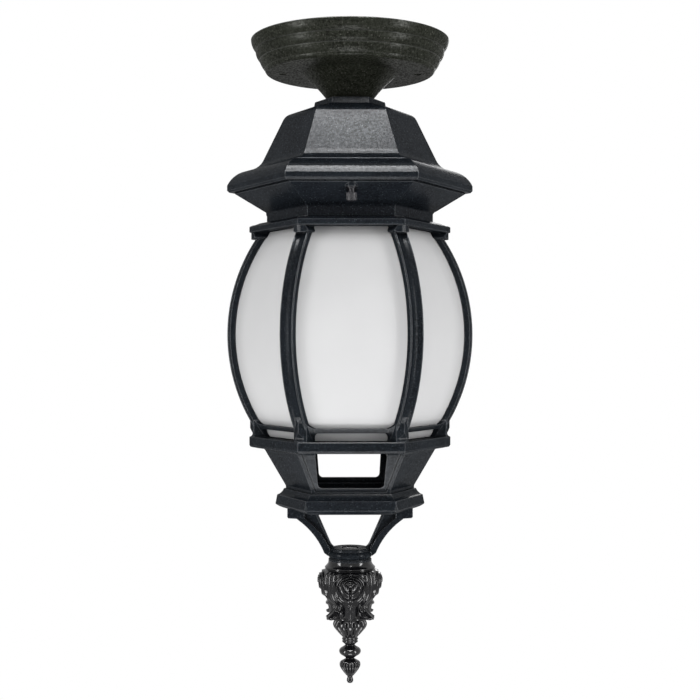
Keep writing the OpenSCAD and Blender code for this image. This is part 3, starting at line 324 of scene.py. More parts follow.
class CastGrain(Effect):
    """The sandy texture of powder coat on a rough casting, with its bright specks."""

    title = "cast_grain"
    takes = {"Grain": ("NodeSocketFloat", 1.2 * MM), "Depth": ("NodeSocketFloat", 0.05 * MM)}
    gives = {"Height": "NodeSocketFloat", "Grit": "NodeSocketFloat", "Specks": "NodeSocketFloat",
             "Mottle": "NodeSocketFloat"}
    fine_size = 0.45  # fine grains against the lumps
    lump_weight = 0.65
    fine_weight = 0.35
    cells_per_grain = 1.3
    speck_chance = (0.72, 0.95)  # cells with a draw above this hold a speck
    speck_reach = (0.55, 0.15)  # distance from a cell's middle, from bare to bright
    grit_range = (0.4, 0.6)
    mottle_size = 34 * MM
    mottle_range = (0.32, 0.68)

    def fill(self, graph: Graph, given: object, result: object) -> None:
        """Builds grain from two noises, specks from small cells, and slow mottling.

        Args:
            graph: The group's graph.
            given: Size and depth of a grain.
            result: Height, grit, specks and mottle.
        """
        where = graph.add("TexCoord").outputs["Object"]
        lumps = graph.noise(where, given["Grain"], detail=3.0, rough=0.62)
        fine = graph.noise(where, graph.calc("MULTIPLY", given["Grain"], self.fine_size))
        mixed = graph.calc("ADD", graph.calc("MULTIPLY", lumps, self.lump_weight),
                           graph.calc("MULTIPLY", fine, self.fine_weight))
        graph.feed(result["Height"], graph.calc("MULTIPLY", mixed, given["Depth"]))
        graph.feed(result["Grit"], graph.ramp(mixed, *self.grit_range))
        density = graph.calc("DIVIDE", self.cells_per_grain, given["Grain"])
        cells = graph.add("TexVoronoi", Vector=where, Scale=density)
        chance = graph.add("SeparateColor", Color=cells.outputs["Color"]).outputs["Red"]
        lucky = graph.ramp(chance, *self.speck_chance)
        dot = graph.ramp(cells.outputs["Distance"], *self.speck_reach)
        graph.feed(result["Specks"], graph.calc("MULTIPLY", lucky, dot))
        slow = graph.noise(where, self.mottle_size, detail=3.0, rough=0.55)
        graph.feed(result["Mottle"], graph.ramp(slow, *self.mottle_range))


class RoundedEdge(Effect):
    """Softens a casting's sharp edges and finds where they are."""

    title = "rounded_edge"
    takes = {"Radius": ("NodeSocketFloat", 0.5 * MM)}
    gives = {"Normal": "NodeSocketVector", "Edge": "NodeSocketFloat"}
    samples = 6
    agreement = (0.995, 0.86)  # cosine between the two normals, from flat to edge

    def fill(self, graph: Graph, given: object, result: object) -> None:
        """Compares the rounded normal with the plain one.

        Args:
            graph: The group's graph.
            given: The edge's radius.
            result: The rounded normal, and a mask that is 1 on an edge.
        """
        rounded = graph.add("Bevel", samples=self.samples)
        graph.feed(rounded.inputs["Radius"], given["Radius"])
        dot = graph.add("VectorMath", operation="DOT_PRODUCT")
        graph.feed(dot.inputs[0], rounded.outputs[0])
        graph.feed(dot.inputs[1], graph.add("NewGeometry").outputs["Normal"])
        graph.feed(result["Normal"], rounded.outputs[0])
        graph.feed(result["Edge"], graph.ramp(dot.outputs["Value"], *self.agreement))


class Hollows(Effect):
    """Finds creases and inner corners, where the finishes paint shade into their colour."""

    title = "hollows"
    takes = {"Reach": ("NodeSocketFloat", 6 * MM)}
    gives = {"Hollow": "NodeSocketFloat"}
    samples = 6
    openness = (0.85, 0.25)  # share of sky seen, from open to hollow

    def fill(self, graph: Graph, given: object, result: object) -> None:
        """Turns occlusion into a mask.

        Args:
            graph: The group's graph.
            given: How far a crease reaches.
            result: The mask, which is 1 in a deep crease.
        """
        sky = graph.add("AmbientOcclusion", samples=self.samples)
        graph.feed(sky.inputs["Distance"], given["Reach"])
        graph.feed(result["Hollow"], graph.ramp(sky.outputs["AO"], *self.openness))


@dataclass
class Effects:
    """The effects that the finishes share, each built once."""

    grain: CastGrain = field(default_factory=CastGrain)
    edge: RoundedEdge = field(default_factory=RoundedEdge)
    hollows: Hollows = field(default_factory=Hollows)


# ---------------------------------------------------------------- finishes


@dataclass(frozen=True)
class Finish:
    """What a piece is painted with or made of."""

    name: str
    colour: Colour

    def build(self, effects: Effects) -> bpy.types.Material:
        """Makes the material, with a Principled shader joined to its output.

        Args:
            effects: The shared effects.

        Returns:
            The finished material.
        """
        material = bpy.data.materials.new(self.name)
        material.use_nodes = True
        graph = Graph(material.node_tree)
        shader = graph.add("BsdfPrincipled")
        graph.add("OutputMaterial", Surface=shader.outputs["BSDF"])
        self.fill(graph, shader, effects)
        return material

    def fill(self, graph: Graph, shader: bpy.types.Node, effects: Effects) -> None:
        """Feeds the shader.

        Args:
            graph: The material's graph.
            shader: Its Principled shader.
            effects: The shared effects.
        """
        raise NotImplementedError


@dataclass(frozen=True)
class CastPaint(Finish):
    """Black paint on a casting: grained, lighter at the edges from wear and painted highlight, and
    painted darker in the hollows as shade.
    """

    speck_colour: Colour
    grain: Grain
    gloss: float
    gloss_roughness: float
    metal: float = 0.03
    roughness: float = 0.26
    sparkle: float = 0.3
    hollow_reach: float = 7 * MM
    specks: float = 0.3
    # lighter edges, partly wear and partly painted highlight: how much of that colour shows
    wear_highlight_share: float = 0.8
    edge_radius: float = 1.2 * MM
    # lighter edges, partly wear and partly painted highlight: what is added to their colour
    wear_highlight_lift: float = 0.05
    hollow_gloss: float = 0.5
    specular: float = 0.0

    # shares of the paint's own colour
    pit_tone: ClassVar[float] = 0.55
    grit_tone: ClassVar[float] = 1.5
    mottle_tone: ClassVar[float] = 1.6
    # lighter edges, partly wear and partly painted highlight
    wear_highlight_tone: ClassVar[float] = 2.6
    # painted shade: the colour of the hollows, as a share of the paint's colour
    crease_shade_tone: ClassVar[float] = 0.35
    # how much of each effect shows
    mottle: ClassVar[float] = 0.5
    # painted shade: how much of that darker colour the hollows take
    crease_shade_share: ClassVar[float] = 0.5
    hollow_roughness: ClassVar[float] = 0.2
    edge_metal: ClassVar[float] = 0.3

    def fill(self, graph: Graph, shader: bpy.types.Node, effects: Effects) -> None:
        """Feeds the shader with paint.

        Args:
            graph: The material's graph.
            shader: Its Principled shader.
            effects: The shared effects.
        """
        size, depth = self.grain.value
        grain = effects.grain.place(graph, Grain=size, Depth=depth)
        edge = effects.edge.place(graph, Radius=self.edge_radius)
        hollow = effects.hollows.place(graph, Reach=self.hollow_reach)["Hollow"]
        graph.feed(shader.inputs["Base Color"], self.tone(graph, grain, edge["Edge"], hollow))
        duller = graph.calc("MULTIPLY", hollow, self.hollow_roughness)
        graph.feed(shader.inputs["Roughness"],
                   graph.calc("ADD", self.roughness, duller, clamp=True))
        shader.inputs["Specular IOR Level"].default_value = self.specular
        dim, bright = 1 - self.sparkle, 1 + self.sparkle
        flakes = graph.ramp(grain["Grit"], 0.0, 1.0, dim * self.metal, bright * self.metal)
        bare = graph.calc("MULTIPLY", edge["Edge"], self.edge_metal)
        graph.feed(shader.inputs["Metallic"], graph.calc("ADD", flakes, bare, clamp=True))
        glint = graph.ramp(grain["Grit"], 0.0, 1.0, dim * self.gloss, bright * self.gloss)
        kept = graph.ramp(hollow, 0.0, 1.0, 1.0, self.hollow_gloss)
        graph.feed(shader.inputs["Coat Weight"], graph.calc("MULTIPLY", glint, kept, clamp=True))
        shader.inputs["Coat Roughness"].default_value = self.gloss_roughness
        graph.emboss(shader, grain["Height"], Normal=edge["Normal"])

    def tone(self, graph: Graph, grain: object, edge: Socket, hollow: Socket) -> Socket:
        """Mixes the paint's colour, with wear and painted highlight on the edges and painted shade
        in the hollows.

        Args:
            graph: The material's graph.
            grain: The grain's outputs.
            edge: Mask of the edges.
            hollow: Mask of the hollows.

        Returns:
            The colour's socket.
        """
        gritty = graph.blend(grain["Grit"], shade(self.colour, self.pit_tone),
                             shade(self.colour, self.grit_tone))
        mottled = graph.tint(grain["Mottle"], self.mottle, gritty,
                             shade(self.colour, self.mottle_tone))
        specked = graph.tint(grain["Specks"], self.specks, mottled, shade(self.speck_colour))
        # the edges are lighter, partly from wear and partly as painted highlight
        wear_and_highlight = graph.tint(edge, self.wear_highlight_share, specked,
                          shade(self.colour, self.wear_highlight_tone, self.wear_highlight_lift))
        # the hollows are painted darker as shade
        return graph.tint(hollow, self.crease_shade_share, wear_and_highlight, shade(self.colour, self.crease_shade_tone))


@dataclass(frozen=True)
class PlatedMetal(Finish):
    """Zinc, brass or spring steel with a fine grain, darker patches and painted shade in the
    hollows.
    """

    roughness: float

    grain_size: ClassVar[float] = 0.5 * MM
    grain_depth: ClassVar[float] = 0.008 * MM
    edge_radius: ClassVar[float] = 0.25 * MM
    hollow_reach: ClassVar[float] = 3 * MM
    # darker colour for the random patches, and painted shade in the hollows
    patch_and_shade_tone: ClassVar[float] = 0.62
    mottle: ClassVar[float] = 0.4
    dull_roughness: ClassVar[float] = 0.15

    def fill(self, graph: Graph, shader: bpy.types.Node, effects: Effects) -> None:
        """Feeds the shader with metal.

        Args:
            graph: The material's graph.
            shader: Its Principled shader.
            effects: The shared effects.
        """
        grain = effects.grain.place(graph, Grain=self.grain_size, Depth=self.grain_depth)
        edge = effects.edge.place(graph, Radius=self.edge_radius)
        hollow = effects.hollows.place(graph, Reach=self.hollow_reach)["Hollow"]
        patch_and_shade = shade(self.colour, self.patch_and_shade_tone)
        base = graph.tint(grain["Mottle"], self.mottle, shade(self.colour), patch_and_shade)
        # the hollows are painted darker as shade
        graph.feed(shader.inputs["Base Color"], graph.blend(hollow, base, patch_and_shade))
        graph.feed(shader.inputs["Roughness"],
                   graph.ramp(grain["Mottle"], 0.0, 1.0, self.roughness,
                              self.roughness + self.dull_roughness))
        shader.inputs["Metallic"].default_value = 1.0
        graph.emboss(shader, grain["Height"], Normal=edge["Normal"])


@dataclass(frozen=True)
class Moulded(Finish):
    """Nylon, foam, porcelain or wire insulation, painted darker in its hollows as shade."""

    roughness: float
    grain_size: float = 0.6 * MM
    grain_depth: float = 0.01 * MM
    coat: float = 0.0

    edge_radius: ClassVar[float] = 0.3 * MM
    hollow_reach: ClassVar[float] = 3 * MM
    faded_tone: ClassVar[float] = 0.82
    # painted shade: the colour of the hollows, and how much of it they take
    moulded_shade_tone: ClassVar[float] = 0.5
    moulded_shade_share: ClassVar[float] = 0.6
    roughness_spread: ClassVar[float] = 0.05

    def fill(self, graph: Graph, shader: bpy.types.Node, effects: Effects) -> None:
        """Feeds the shader with a moulded surface.

        Args:
            graph: The material's graph.
            shader: Its Principled shader.
            effects: The shared effects.
        """
        grain = effects.grain.place(graph, Grain=self.grain_size, Depth=self.grain_depth)
        edge = effects.edge.place(graph, Radius=self.edge_radius)
        hollow = effects.hollows.place(graph, Reach=self.hollow_reach)["Hollow"]
        base = graph.blend(grain["Mottle"], shade(self.colour),
                           shade(self.colour, self.faded_tone))
        # the hollows are painted darker as shade
        graph.feed(shader.inputs["Base Color"],
                   graph.tint(hollow, self.moulded_shade_share, base, shade(self.colour, self.moulded_shade_tone)))
        graph.feed(shader.inputs["Roughness"],
                   graph.ramp(grain["Mottle"], 0.0, 1.0, self.roughness - self.roughness_spread,
                              self.roughness + self.roughness_spread))
        shader.inputs["Coat Weight"].default_value = self.coat
        graph.emboss(shader, grain["Height"], Normal=edge["Normal"])


@dataclass(frozen=True)
class SatinGlass(Finish):
    """Pale grey satin glass that lets the ribs behind it show faintly, and is painted darker in
    its hollows as shade.
    """

    roughness: float
    opacity: float

    cloud_size: ClassVar[float] = 60 * MM
    cloud_range: ClassVar[tuple[float, float]] = (0.3, 0.7)
    cloud_tone: ClassVar[float] = 0.965
    hollow_reach: ClassVar[float] = 4 * MM
    # painted shade: the colour of the glass in its hollows, and how much of it they take
    crease_shade_tone: ClassVar[float] = 0.55
    crease_shade_share: ClassVar[float] = 0.35
    ripple_size: ClassVar[float] = 9 * MM
    ripple_range: ClassVar[tuple[float, float]] = (0.2, 0.8)
    ripple_depth: ClassVar[float] = 0.02 * MM
    ripple_roughness: ClassVar[float] = 0.08
    specular: ClassVar[float] = 0.05

    def fill(self, graph: Graph, shader: bpy.types.Node, effects: Effects) -> None:
        """Feeds the shader with glass.

        Args:
            graph: The material's graph.
            shader: Its Principled shader.
            effects: The shared effects.
        """
        where = graph.add("TexCoord").outputs["Object"]
        cloud = graph.noise(where, self.cloud_size)
        base = graph.blend(graph.ramp(cloud, *self.cloud_range), shade(self.colour),
                           shade(self.colour, self.cloud_tone))
        hollow = effects.hollows.place(graph, Reach=self.hollow_reach)["Hollow"]
        # the hollows are painted darker as shade
        graph.feed(shader.inputs["Base Color"],
                   graph.tint(hollow, self.crease_shade_share, base,
                              shade(self.colour, self.crease_shade_tone)))
        ripple = graph.noise(where, self.ripple_size, detail=1.0)
        graph.feed(shader.inputs["Roughness"],
                   graph.ramp(ripple, *self.ripple_range, self.roughness,
                              self.roughness + self.ripple_roughness))
        shader.inputs["Alpha"].default_value = self.opacity
        shader.inputs["Specular IOR Level"].default_value = self.specular
        graph.emboss(shader, graph.calc("MULTIPLY", ripple, self.ripple_depth))


class Finishes:
    """All the lantern's finishes, built once and handed to its pieces."""

    def __init__(self) -> None:
        """Builds the shared effects and every finish."""
        effects = Effects()
        self.canopy = CastPaint(
            "canopy_paint", (0.011, 0.012, 0.009), (0.08, 0.08, 0.07), Grain.COARSE,
            gloss=0.1, gloss_roughness=0.28, sparkle=0.6, specks=0.5).build(effects)
        self.casting = CastPaint(
            "lantern_paint", (0.006, 0.0075, 0.0095), (0.07, 0.08, 0.09), Grain.FINE,
            gloss=0.09, gloss_roughness=0.2).build(effects)
        # the finial's ridges are lightened as painted highlight, and its hollows painted darker as
        # shade
        self.finial = CastPaint(
            "finial_paint", (0.003, 0.003, 0.0036), (0.04, 0.04, 0.05), Grain.SMOOTH,
            gloss=0.62, gloss_roughness=0.12, metal=0.0, roughness=0.2, sparkle=0.1,
            hollow_reach=4.5 * MM, specks=0.0, wear_highlight_share=0.1, edge_radius=0.3 * MM,
            wear_highlight_lift=0.1, hollow_gloss=0.0).build(effects)
        self.black_steel = CastPaint(
            "black_steel", (0.012, 0.012, 0.014), (0.08, 0.08, 0.08), Grain.SMOOTH,
            gloss=0.3, gloss_roughness=0.25, specks=0.2, edge_radius=0.25 * MM).build(effects)
        self.zinc = PlatedMetal(
            "zinc_steel", (0.5, 0.51, 0.5), roughness=0.4).build(effects)
        self.spring = PlatedMetal(
            "spring_steel", (0.22, 0.225, 0.235), roughness=0.5).build(effects)
        self.brass = PlatedMetal(
            "brass", (0.72, 0.55, 0.26), roughness=0.3).build(effects)
        self.foam = Moulded(
            "foam", (0.02, 0.02, 0.021), roughness=0.9,
            grain_size=0.8 * MM, grain_depth=0.12 * MM).build(effects)
        self.nylon = Moulded(
            "terminal_plastic", (0.72, 0.70, 0.62), roughness=0.5).build(effects)
        self.porcelain = Moulded(
            "porcelain", (0.82, 0.80, 0.74), roughness=0.2, coat=0.6).build(effects)
        self.brown = Moulded(
            "wire_brown", (0.16, 0.06, 0.025), roughness=0.4).build(effects)
        self.blue = Moulded(
            "wire_blue", (0.03, 0.10, 0.40), roughness=0.4).build(effects)
        self.green = Moulded(
            "wire_green", (0.08, 0.30, 0.05), roughness=0.4).build(effects)
        self.pane = SatinGlass(
            "pane_glass", (0.57, 0.57, 0.575), roughness=0.45, opacity=0.6).build(effects)


# ---------------------------------------------------------------- pieces


class Assembly:
    """A group of pieces that a maker would put together at one bench."""

    side = Side.FIXED

    def __init__(self, frame: dict, finishes: Finishes) -> None:
        """Keeps what every assembly needs.

        Args:
            frame: The loaded frame.
            finishes: The lantern's finishes.
        """
        self.nodes = frame["nodes"]
        self.finishes = finishes

    def looks(self) -> dict[str, bpy.types.Material]:
        """Chooses a finish for each piece of the frame.

        Returns:
            The finishes by piece.
        """
        raise NotImplementedError

    def build(self) -> list[str]:
        """Dresses the pieces.

        Returns:
            The names of the pieces.
        """
        looks = self.looks()
        for name, material in looks.items():
            mesh = self.nodes[name].data
            mesh.materials.clear()
            mesh.materials.append(material)
        return list(looks)


class CeilingCanopy(Assembly):
    """The round canopy with its gasket, stem and wiring."""

    def looks(self) -> dict[str, bpy.types.Material]:
        """Chooses the finishes of the canopy and what it holds.

        Returns:
            The finishes by piece.
        """
        f = self.finishes
        return {
            "canopy": f.canopy, "canopy_gasket": f.foam, "terminal_block": f.nylon,
            "terminal_screws": f.brass, "earth_screw": f.brass, "stem_nipple": f.zinc,
            "stem_washer": f.zinc, "stem_top_nut": f.zinc, "stem_bottom_nut": f.zinc,
            "live_wire": f.brown, "neutral_wire": f.blue, "earth_wire": f.green,
        }


class RoofAndHolder(Assembly):
    """The bell roof and the lampholder inside it."""

    def looks(self) -> dict[str, bpy.types.Material]:
        """Chooses the finishes of the roof and the lampholder.

        Returns:
            The finishes by piece.
        """
        f = self.finishes
        return {
            "roof": f.casting, "lampholder_bracket": f.zinc, "bracket_screws": f.zinc,
            "lampholder_body": f.porcelain, "lampholder_shell": f.brass,
            "lampholder_contact": f.brass,
        }


class Cage(Assembly):
    """Collar, rims, ribs, panes and the screws that hold them."""

    side = Side.CAGE
    faces = 6
    thumb_screws = 3

    def looks(self) -> dict[str, bpy.types.Material]:
        """Chooses the finishes of the cage.

        Returns:
            The finishes by piece.
        """
        f = self.finishes
        castings = ["collar", "cage_top_rim", "cage_bottom_rim", "glass_rails"]
        castings += [f"rib_{i + 1}" for i in range(self.faces)]
        panes = [f"glass_panel_{i + 1}" for i in range(self.faces)]
        screws = ["rib_screws_top", "rib_screws_bottom"]
        screws += [f"thumb_screw_{i + 1}" for i in range(self.thumb_screws)]
        return {
            **dict.fromkeys(castings, f.casting), **dict.fromkeys(panes, f.pane),
            **dict.fromkeys(screws, f.black_steel),
            "panel_clips": f.spring, "collar_screws": f.zinc,
        }


class Base(Assembly):
    """Skirt, base ring and the bracket that carries the finial."""

    side = Side.CAGE

    def looks(self) -> dict[str, bpy.types.Material]:
        """Chooses the finishes of the base.

        Returns:
            The finishes by piece.
        """
        castings = ["skirt", "base_ring", "finial_bracket"]
        screws = ["skirt_screws", "base_screws", "finial_bracket_screws", "finial_stud",
                  "finial_nut"]
        return {**dict.fromkeys(castings, self.finishes.casting),
                **dict.fromkeys(screws, self.finishes.black_steel)}


def step(x: np.ndarray, low: float, high: float) -> np.ndarray:
    """Rises smoothly from 0 at low to 1 at high.

    Args:
        x: Values.
        low: Where it is 0.
        high: Where it is 1.

    Returns:
        The step at each value.
    """
    t = np.clip((x - low) / (high - low), 0.0, 1.0)
    return t * t * (3 - 2 * t)


def soft_max(a: np.ndarray, b: np.ndarray, width: float) -> np.ndarray:
    """The larger of two values, rounded over where they cross.

    Args:
        a: First values.
        b: Second values.
        width: Width of the rounding.

    Returns:
        The rounded maximum.
    """
    h = np.clip(0.5 + 0.5 * (a - b) / width, 0.0, 1.0)
    return b + (a - b) * h + width * h * (1 - h)


@dataclass(frozen=True)
class Band:
    """Depths between which a carving shows: it comes in up to full and goes out after fade."""

    start: float
    full: float
    fade: float
    end: float

    def mask(self, depth: np.ndarray) -> np.ndarray:
        """How much of the carving shows.

        Args:
            depth: Depths below the hub.

        Returns:
            The share at each depth, from 0 to 1.
        """
        return step(depth, self.start, self.full) * (1 - step(depth, self.fade, self.end))


@dataclass(frozen=True)
class Ridge:
    """A rounded ridge, or a channel when its height is below zero."""

    height: float
    middle: float
    width: float

    def over(self, x: np.ndarray) -> np.ndarray:
        """Height of the ridge.

        Args:
            x: Places across it.

        Returns:
            The height at each place.
        """
        return self.height * np.exp(-(((x - self.middle) / self.width) ** 2))


@dataclass(frozen=True)
class Lobing:
    """Equal grooves that leave lobes standing all round a band of the drop."""

    count: int
    depth: float
    power: float
    band: Band

    def cut(self, angle: np.ndarray, depth: np.ndarray) -> np.ndarray:
        """Depth of the grooves.

        Args:
            angle: Angles round the axis, in radians.
            depth: Depths below the hub.

        Returns:
            The depth of the cut at each point.
        """
        groove = 1 - np.abs(np.cos(self.count * angle / 2))
        return self.depth * self.band.mask(depth) * groove**self.power


@dataclass(frozen=True)
class FinialShape:
    """Sizes of the carved finial in millimetres, with depths counted down from the hub."""

    height: float = 98.4
    columns: int = 400
    rows: int = 340
    tip_r: float = 0.02
    # radius and depth of the turned body, from the hub to the tip
    body: tuple[tuple[float, float], ...] = (
        (17.2, 0.0), (17.5, 1.6), (18.9, 3.8), (20.0, 4.9), (20.1, 5.6), (19.4, 6.3),
        (20.8, 7.6), (22.2, 10.0), (22.9, 14.0), (22.7, 18.0), (21.6, 22.4), (20.4, 26.0),
        (18.4, 29.5), (15.6, 33.0), (14.2, 36.0), (13.4, 40.0), (12.0, 44.6), (11.8, 46.2),
        (12.7, 48.0), (13.6, 51.0), (12.6, 53.8), (10.5, 56.4), (8.2, 59.0), (6.3, 61.0),
        (6.0, 61.8), (6.5, 62.8), (5.9, 63.8), (6.4, 64.9), (5.0, 66.2), (3.8, 67.4),
        (4.6, 68.4), (7.7, 70.4), (8.7, 72.6), (7.6, 74.9), (4.4, 77.1), (3.4, 78.4),
        (5.0, 79.4), (7.4, 80.8), (8.3, 83.4), (7.4, 86.2), (5.6, 88.8), (3.3, 91.6),
        (2.2, 92.8), (2.1, 93.4), (2.6, 95.4), (2.2, 97.2), (0.9, 98.2), (0.0, 98.4))

    # a rose on each side: rings of petals round an eye above its middle
    roses: int = 4
    eye_depth: float = 14.4
    rosette_r: float = 11.9
    rosette_width: float = 1.12
    rosette_lift: float = 0.5
    rosette_fade: float = 0.5
    dome_height: float = 1.8
    ring_shift: float = 0.4
    petal_edges: tuple[float, ...] = (1.7, 4.3, 7.2, 11.1)
    petal_dip: float = 0.8
    petal_point: float = 0.16
    bead_half: float = 0.75
    bead_height: float = 1.0
    cleft: Ridge = Ridge(1.7, 0.0, 0.6)
    cleft_start: float = 2.0
    cleft_full: float = 4.5

    # three reeds down each diagonal
    reed_pitch_deg: float = 11.5
    reed_height: float = 1.5
    reeds_half: float = 1.5
    reeds_fade: float = 0.08
    reed_band: Band = Band(6.4, 9.0, 30.0, 36.0)

    # a keeled leaf under each rose
    keel_half_deg: float = 27.0
    keel_height: float = 3.4
    keel_rib: Ridge = Ridge(0.3, 0.27, 0.05)
    keel_band: Band = Band(29.0, 34.0, 44.0, 45.4)

    # a broad leaf on each diagonal, which curls outward at its tip
    leaf_top: float = 29.0
    leaf_rise: float = 4.0
    leaf_tip: float = 43.2
    leaf_top_r: float = 18.9
    leaf_r: float = 24.6
    leaf_waist: float = 3.2
    leaf_waist_end: float = 0.9
    leaf_curl_power: int = 4
    leaf_half_deg: float = 19.0
    leaf_taper: float = 0.2
    leaf_lip: Ridge = Ridge(0.6, 0.86, 0.16)
    leaf_channel: Ridge = Ridge(-0.8, 0.5, 0.24)
    leaf_vein: Ridge = Ridge(0.6, 0.0, 0.06)
    leaf_edge: float = 0.8
    leaf_edge_power: int = 6
    tip_point: float = 1.1
    tip_shoulder: float = 2.6
    tip_lobes: int = 3
    tip_lobe_depth: float = 0.5
    tip_fade: float = 1.3
    leaf_blend: float = 0.4

    # gadroons on the cup and flutes on the bud
    gadroons: Lobing = Lobing(12, 2.0, 1.6, Band(46.6, 49.0, 57.0, 60.0))
    flutes: Lobing = Lobing(20, 1.1, 1.4, Band(79.6, 82.0, 88.0, 91.6))


class Finial(Assembly):
    """The carved drop: four rosettes, leaves on the diagonals, gadroons and a fluted bud."""

    side = Side.CAGE
    shape = FinialShape()

    def looks(self) -> dict[str, bpy.types.Material]:
        """Chooses the finish of the plain finial.

        Returns:
            The finishes by piece.
        """
        return {"finial": self.finishes.finial}

    def body(self, depth: np.ndarray) -> np.ndarray:
        """Radius of the plain turned body, a smooth curve through its listed points.

        Args:
            depth: Depths below the hub.

        Returns:
            The radius at each depth.
        """
        radii, depths = np.array(self.shape.body).T
        slopes = np.gradient(radii, depths)
        i = np.clip(np.searchsorted(depths, depth, side="right") - 1, 0, len(depths) - 2)
        span = depths[i + 1] - depths[i]
        t = (depth - depths[i]) / span
        a, b = radii[i], radii[i + 1]
        slope_a, slope_b = slopes[i] * span, slopes[i + 1] * span
        curve = ((2 * t**3 - 3 * t**2 + 1) * a + (t**3 - 2 * t**2 + t) * slope_a
                 + (3 * t**2 - 2 * t**3) * b + (t**3 - t**2) * slope_b)
        return np.maximum(curve, 0.0)

    def rosette(self, turn: np.ndarray, depth: np.ndarray) -> np.ndarray:
        """Relief of a rose whose petals nest round an eye above its middle.

        Args:
            turn: Angle from the rose's middle line, in radians.
            depth: Depths below the hub.

        Returns:
            Height over the turned body, 0 outside the rose.
        """
        s = self.shape
        across = self.body(depth) * np.sin(turn) / s.rosette_width
        up = s.eye_depth - depth
        below_eye = s.petal_point * np.maximum(-up - np.abs(across), 0.0)
        pointed = np.where(up < 0, below_eye, 0.0)
        c = s.ring_shift
        free = 1 - c * c
        ring = (c * up + np.sqrt((c * up) ** 2 + free * (across**2 + up**2))) / free - pointed
        height = s.dome_height * (1 - (ring / s.rosette_r) ** 2) + s.rosette_lift
        inner = 0.0
        for outer in s.petal_edges:
            along = np.clip((ring - inner) / (outer - inner), 0.0, 1.0)
            inside = (ring >= inner) & (ring < outer)
            height = height - np.where(inside, s.petal_dip * np.sin(math.pi * along), 0.0)
            height = height + Ridge(s.bead_height, outer, s.bead_half).over(ring)
            inner = outer
        height = height - s.cleft.over(across) * step(-up, s.cleft_start, s.cleft_full)
        shown = 1 - step(ring, s.rosette_r - s.rosette_fade, s.rosette_r + s.rosette_fade)
        return np.where(np.cos(turn) > 0, np.maximum(height, 0.0) * shown, 0.0)

    def reeds(self, from_leaf: np.ndarray, depth: np.ndarray) -> np.ndarray:
        """Relief of the reeds.

        Args:
            from_leaf: Angle from the nearest diagonal, in radians.
            depth: Depths below the hub.

        Returns:
            Height over the turned body.
        """
        s = self.shape
        pitch = math.radians(s.reed_pitch_deg)
        phase = np.abs(((from_leaf / pitch + 0.5) % 1.0) - 0.5) * 2
        reed = s.reed_height * np.sqrt(np.clip(1 - phase**2, 0, 1))
        start = (s.reeds_half - s.reeds_fade) * pitch
        side = 1 - step(np.abs(from_leaf), start, s.reeds_half * pitch)
        return reed * side * s.reed_band.mask(depth)

    def keels(self, from_rose: np.ndarray, depth: np.ndarray) -> np.ndarray:
        """Relief of the keeled leaves.

        Args:
            from_rose: Angle from the nearest rose's middle line, in radians.
            depth: Depths below the hub.

        Returns:
            Height over the turned body.
        """
        s = self.shape
        away = np.abs(from_rose)
        keel = s.keel_height * np.clip(1 - away / math.radians(s.keel_half_deg), 0, 1)
        return (keel + s.keel_rib.over(away)) * s.keel_band.mask(depth)

    def leaves(self, from_leaf: np.ndarray, depth: np.ndarray) -> np.ndarray:
        """Radius of the broad leaves.

        Args:
            from_leaf: Angle from the nearest diagonal, in radians.
            depth: Depths below the hub.

        Returns:
            The radius at each point, 0 beside the leaves.
        """
        s = self.shape
        along = np.clip((depth - s.leaf_top) / (s.leaf_tip - s.leaf_top), 0, 1)
        half = math.radians(s.leaf_half_deg) * (1.0 - s.leaf_taper * along)
        share = np.abs(from_leaf) / half
        waist = s.leaf_waist * np.sin(math.pi * np.clip(along / s.leaf_waist_end, 0, 1))
        flare = (s.leaf_r - s.leaf_top_r) * along**s.leaf_curl_power
        curl = s.leaf_top_r - waist + flare + s.leaf_lip.over(share) + s.leaf_channel.over(share)
        edge = np.sqrt(np.clip(1 - np.clip(share, 0, 1) ** s.leaf_edge_power, 0, 1))
        thinned = s.leaf_edge + (1 - s.leaf_edge) * edge
        tip = (s.leaf_tip + s.tip_point - s.tip_shoulder * share**2
               - s.tip_lobe_depth * np.cos(s.tip_lobes * math.pi * share))
        shown = step(depth, s.leaf_top, s.leaf_top + s.leaf_rise)
        shown = shown * (1 - step(depth, tip, tip + s.tip_fade))
        leaf = (curl + s.leaf_vein.over(from_leaf) * along) * thinned * shown
        return np.where(share < 1, leaf, 0.0)

    def relief(self, angle: np.ndarray, depth: np.ndarray) -> np.ndarray:
        """Radius of the carved surface.

        Args:
            angle: Angles round the axis, in radians from one rose's middle.
            depth: Depths below the hub.

        Returns:
            The radius at each point.
        """
        s = self.shape
        sector = 2 * math.pi / s.roses
        from_rose = (angle + sector / 2) % sector - sector / 2
        from_leaf = angle % sector - sector / 2
        radius = self.body(depth) + self.reeds(from_leaf, depth) + self.keels(from_rose, depth)
        radius = soft_max(radius, self.leaves(from_leaf, depth), s.leaf_blend)
        radius = radius - s.gadroons.cut(angle, depth) - s.flutes.cut(angle, depth)
        return radius + self.rosette(from_rose, depth)

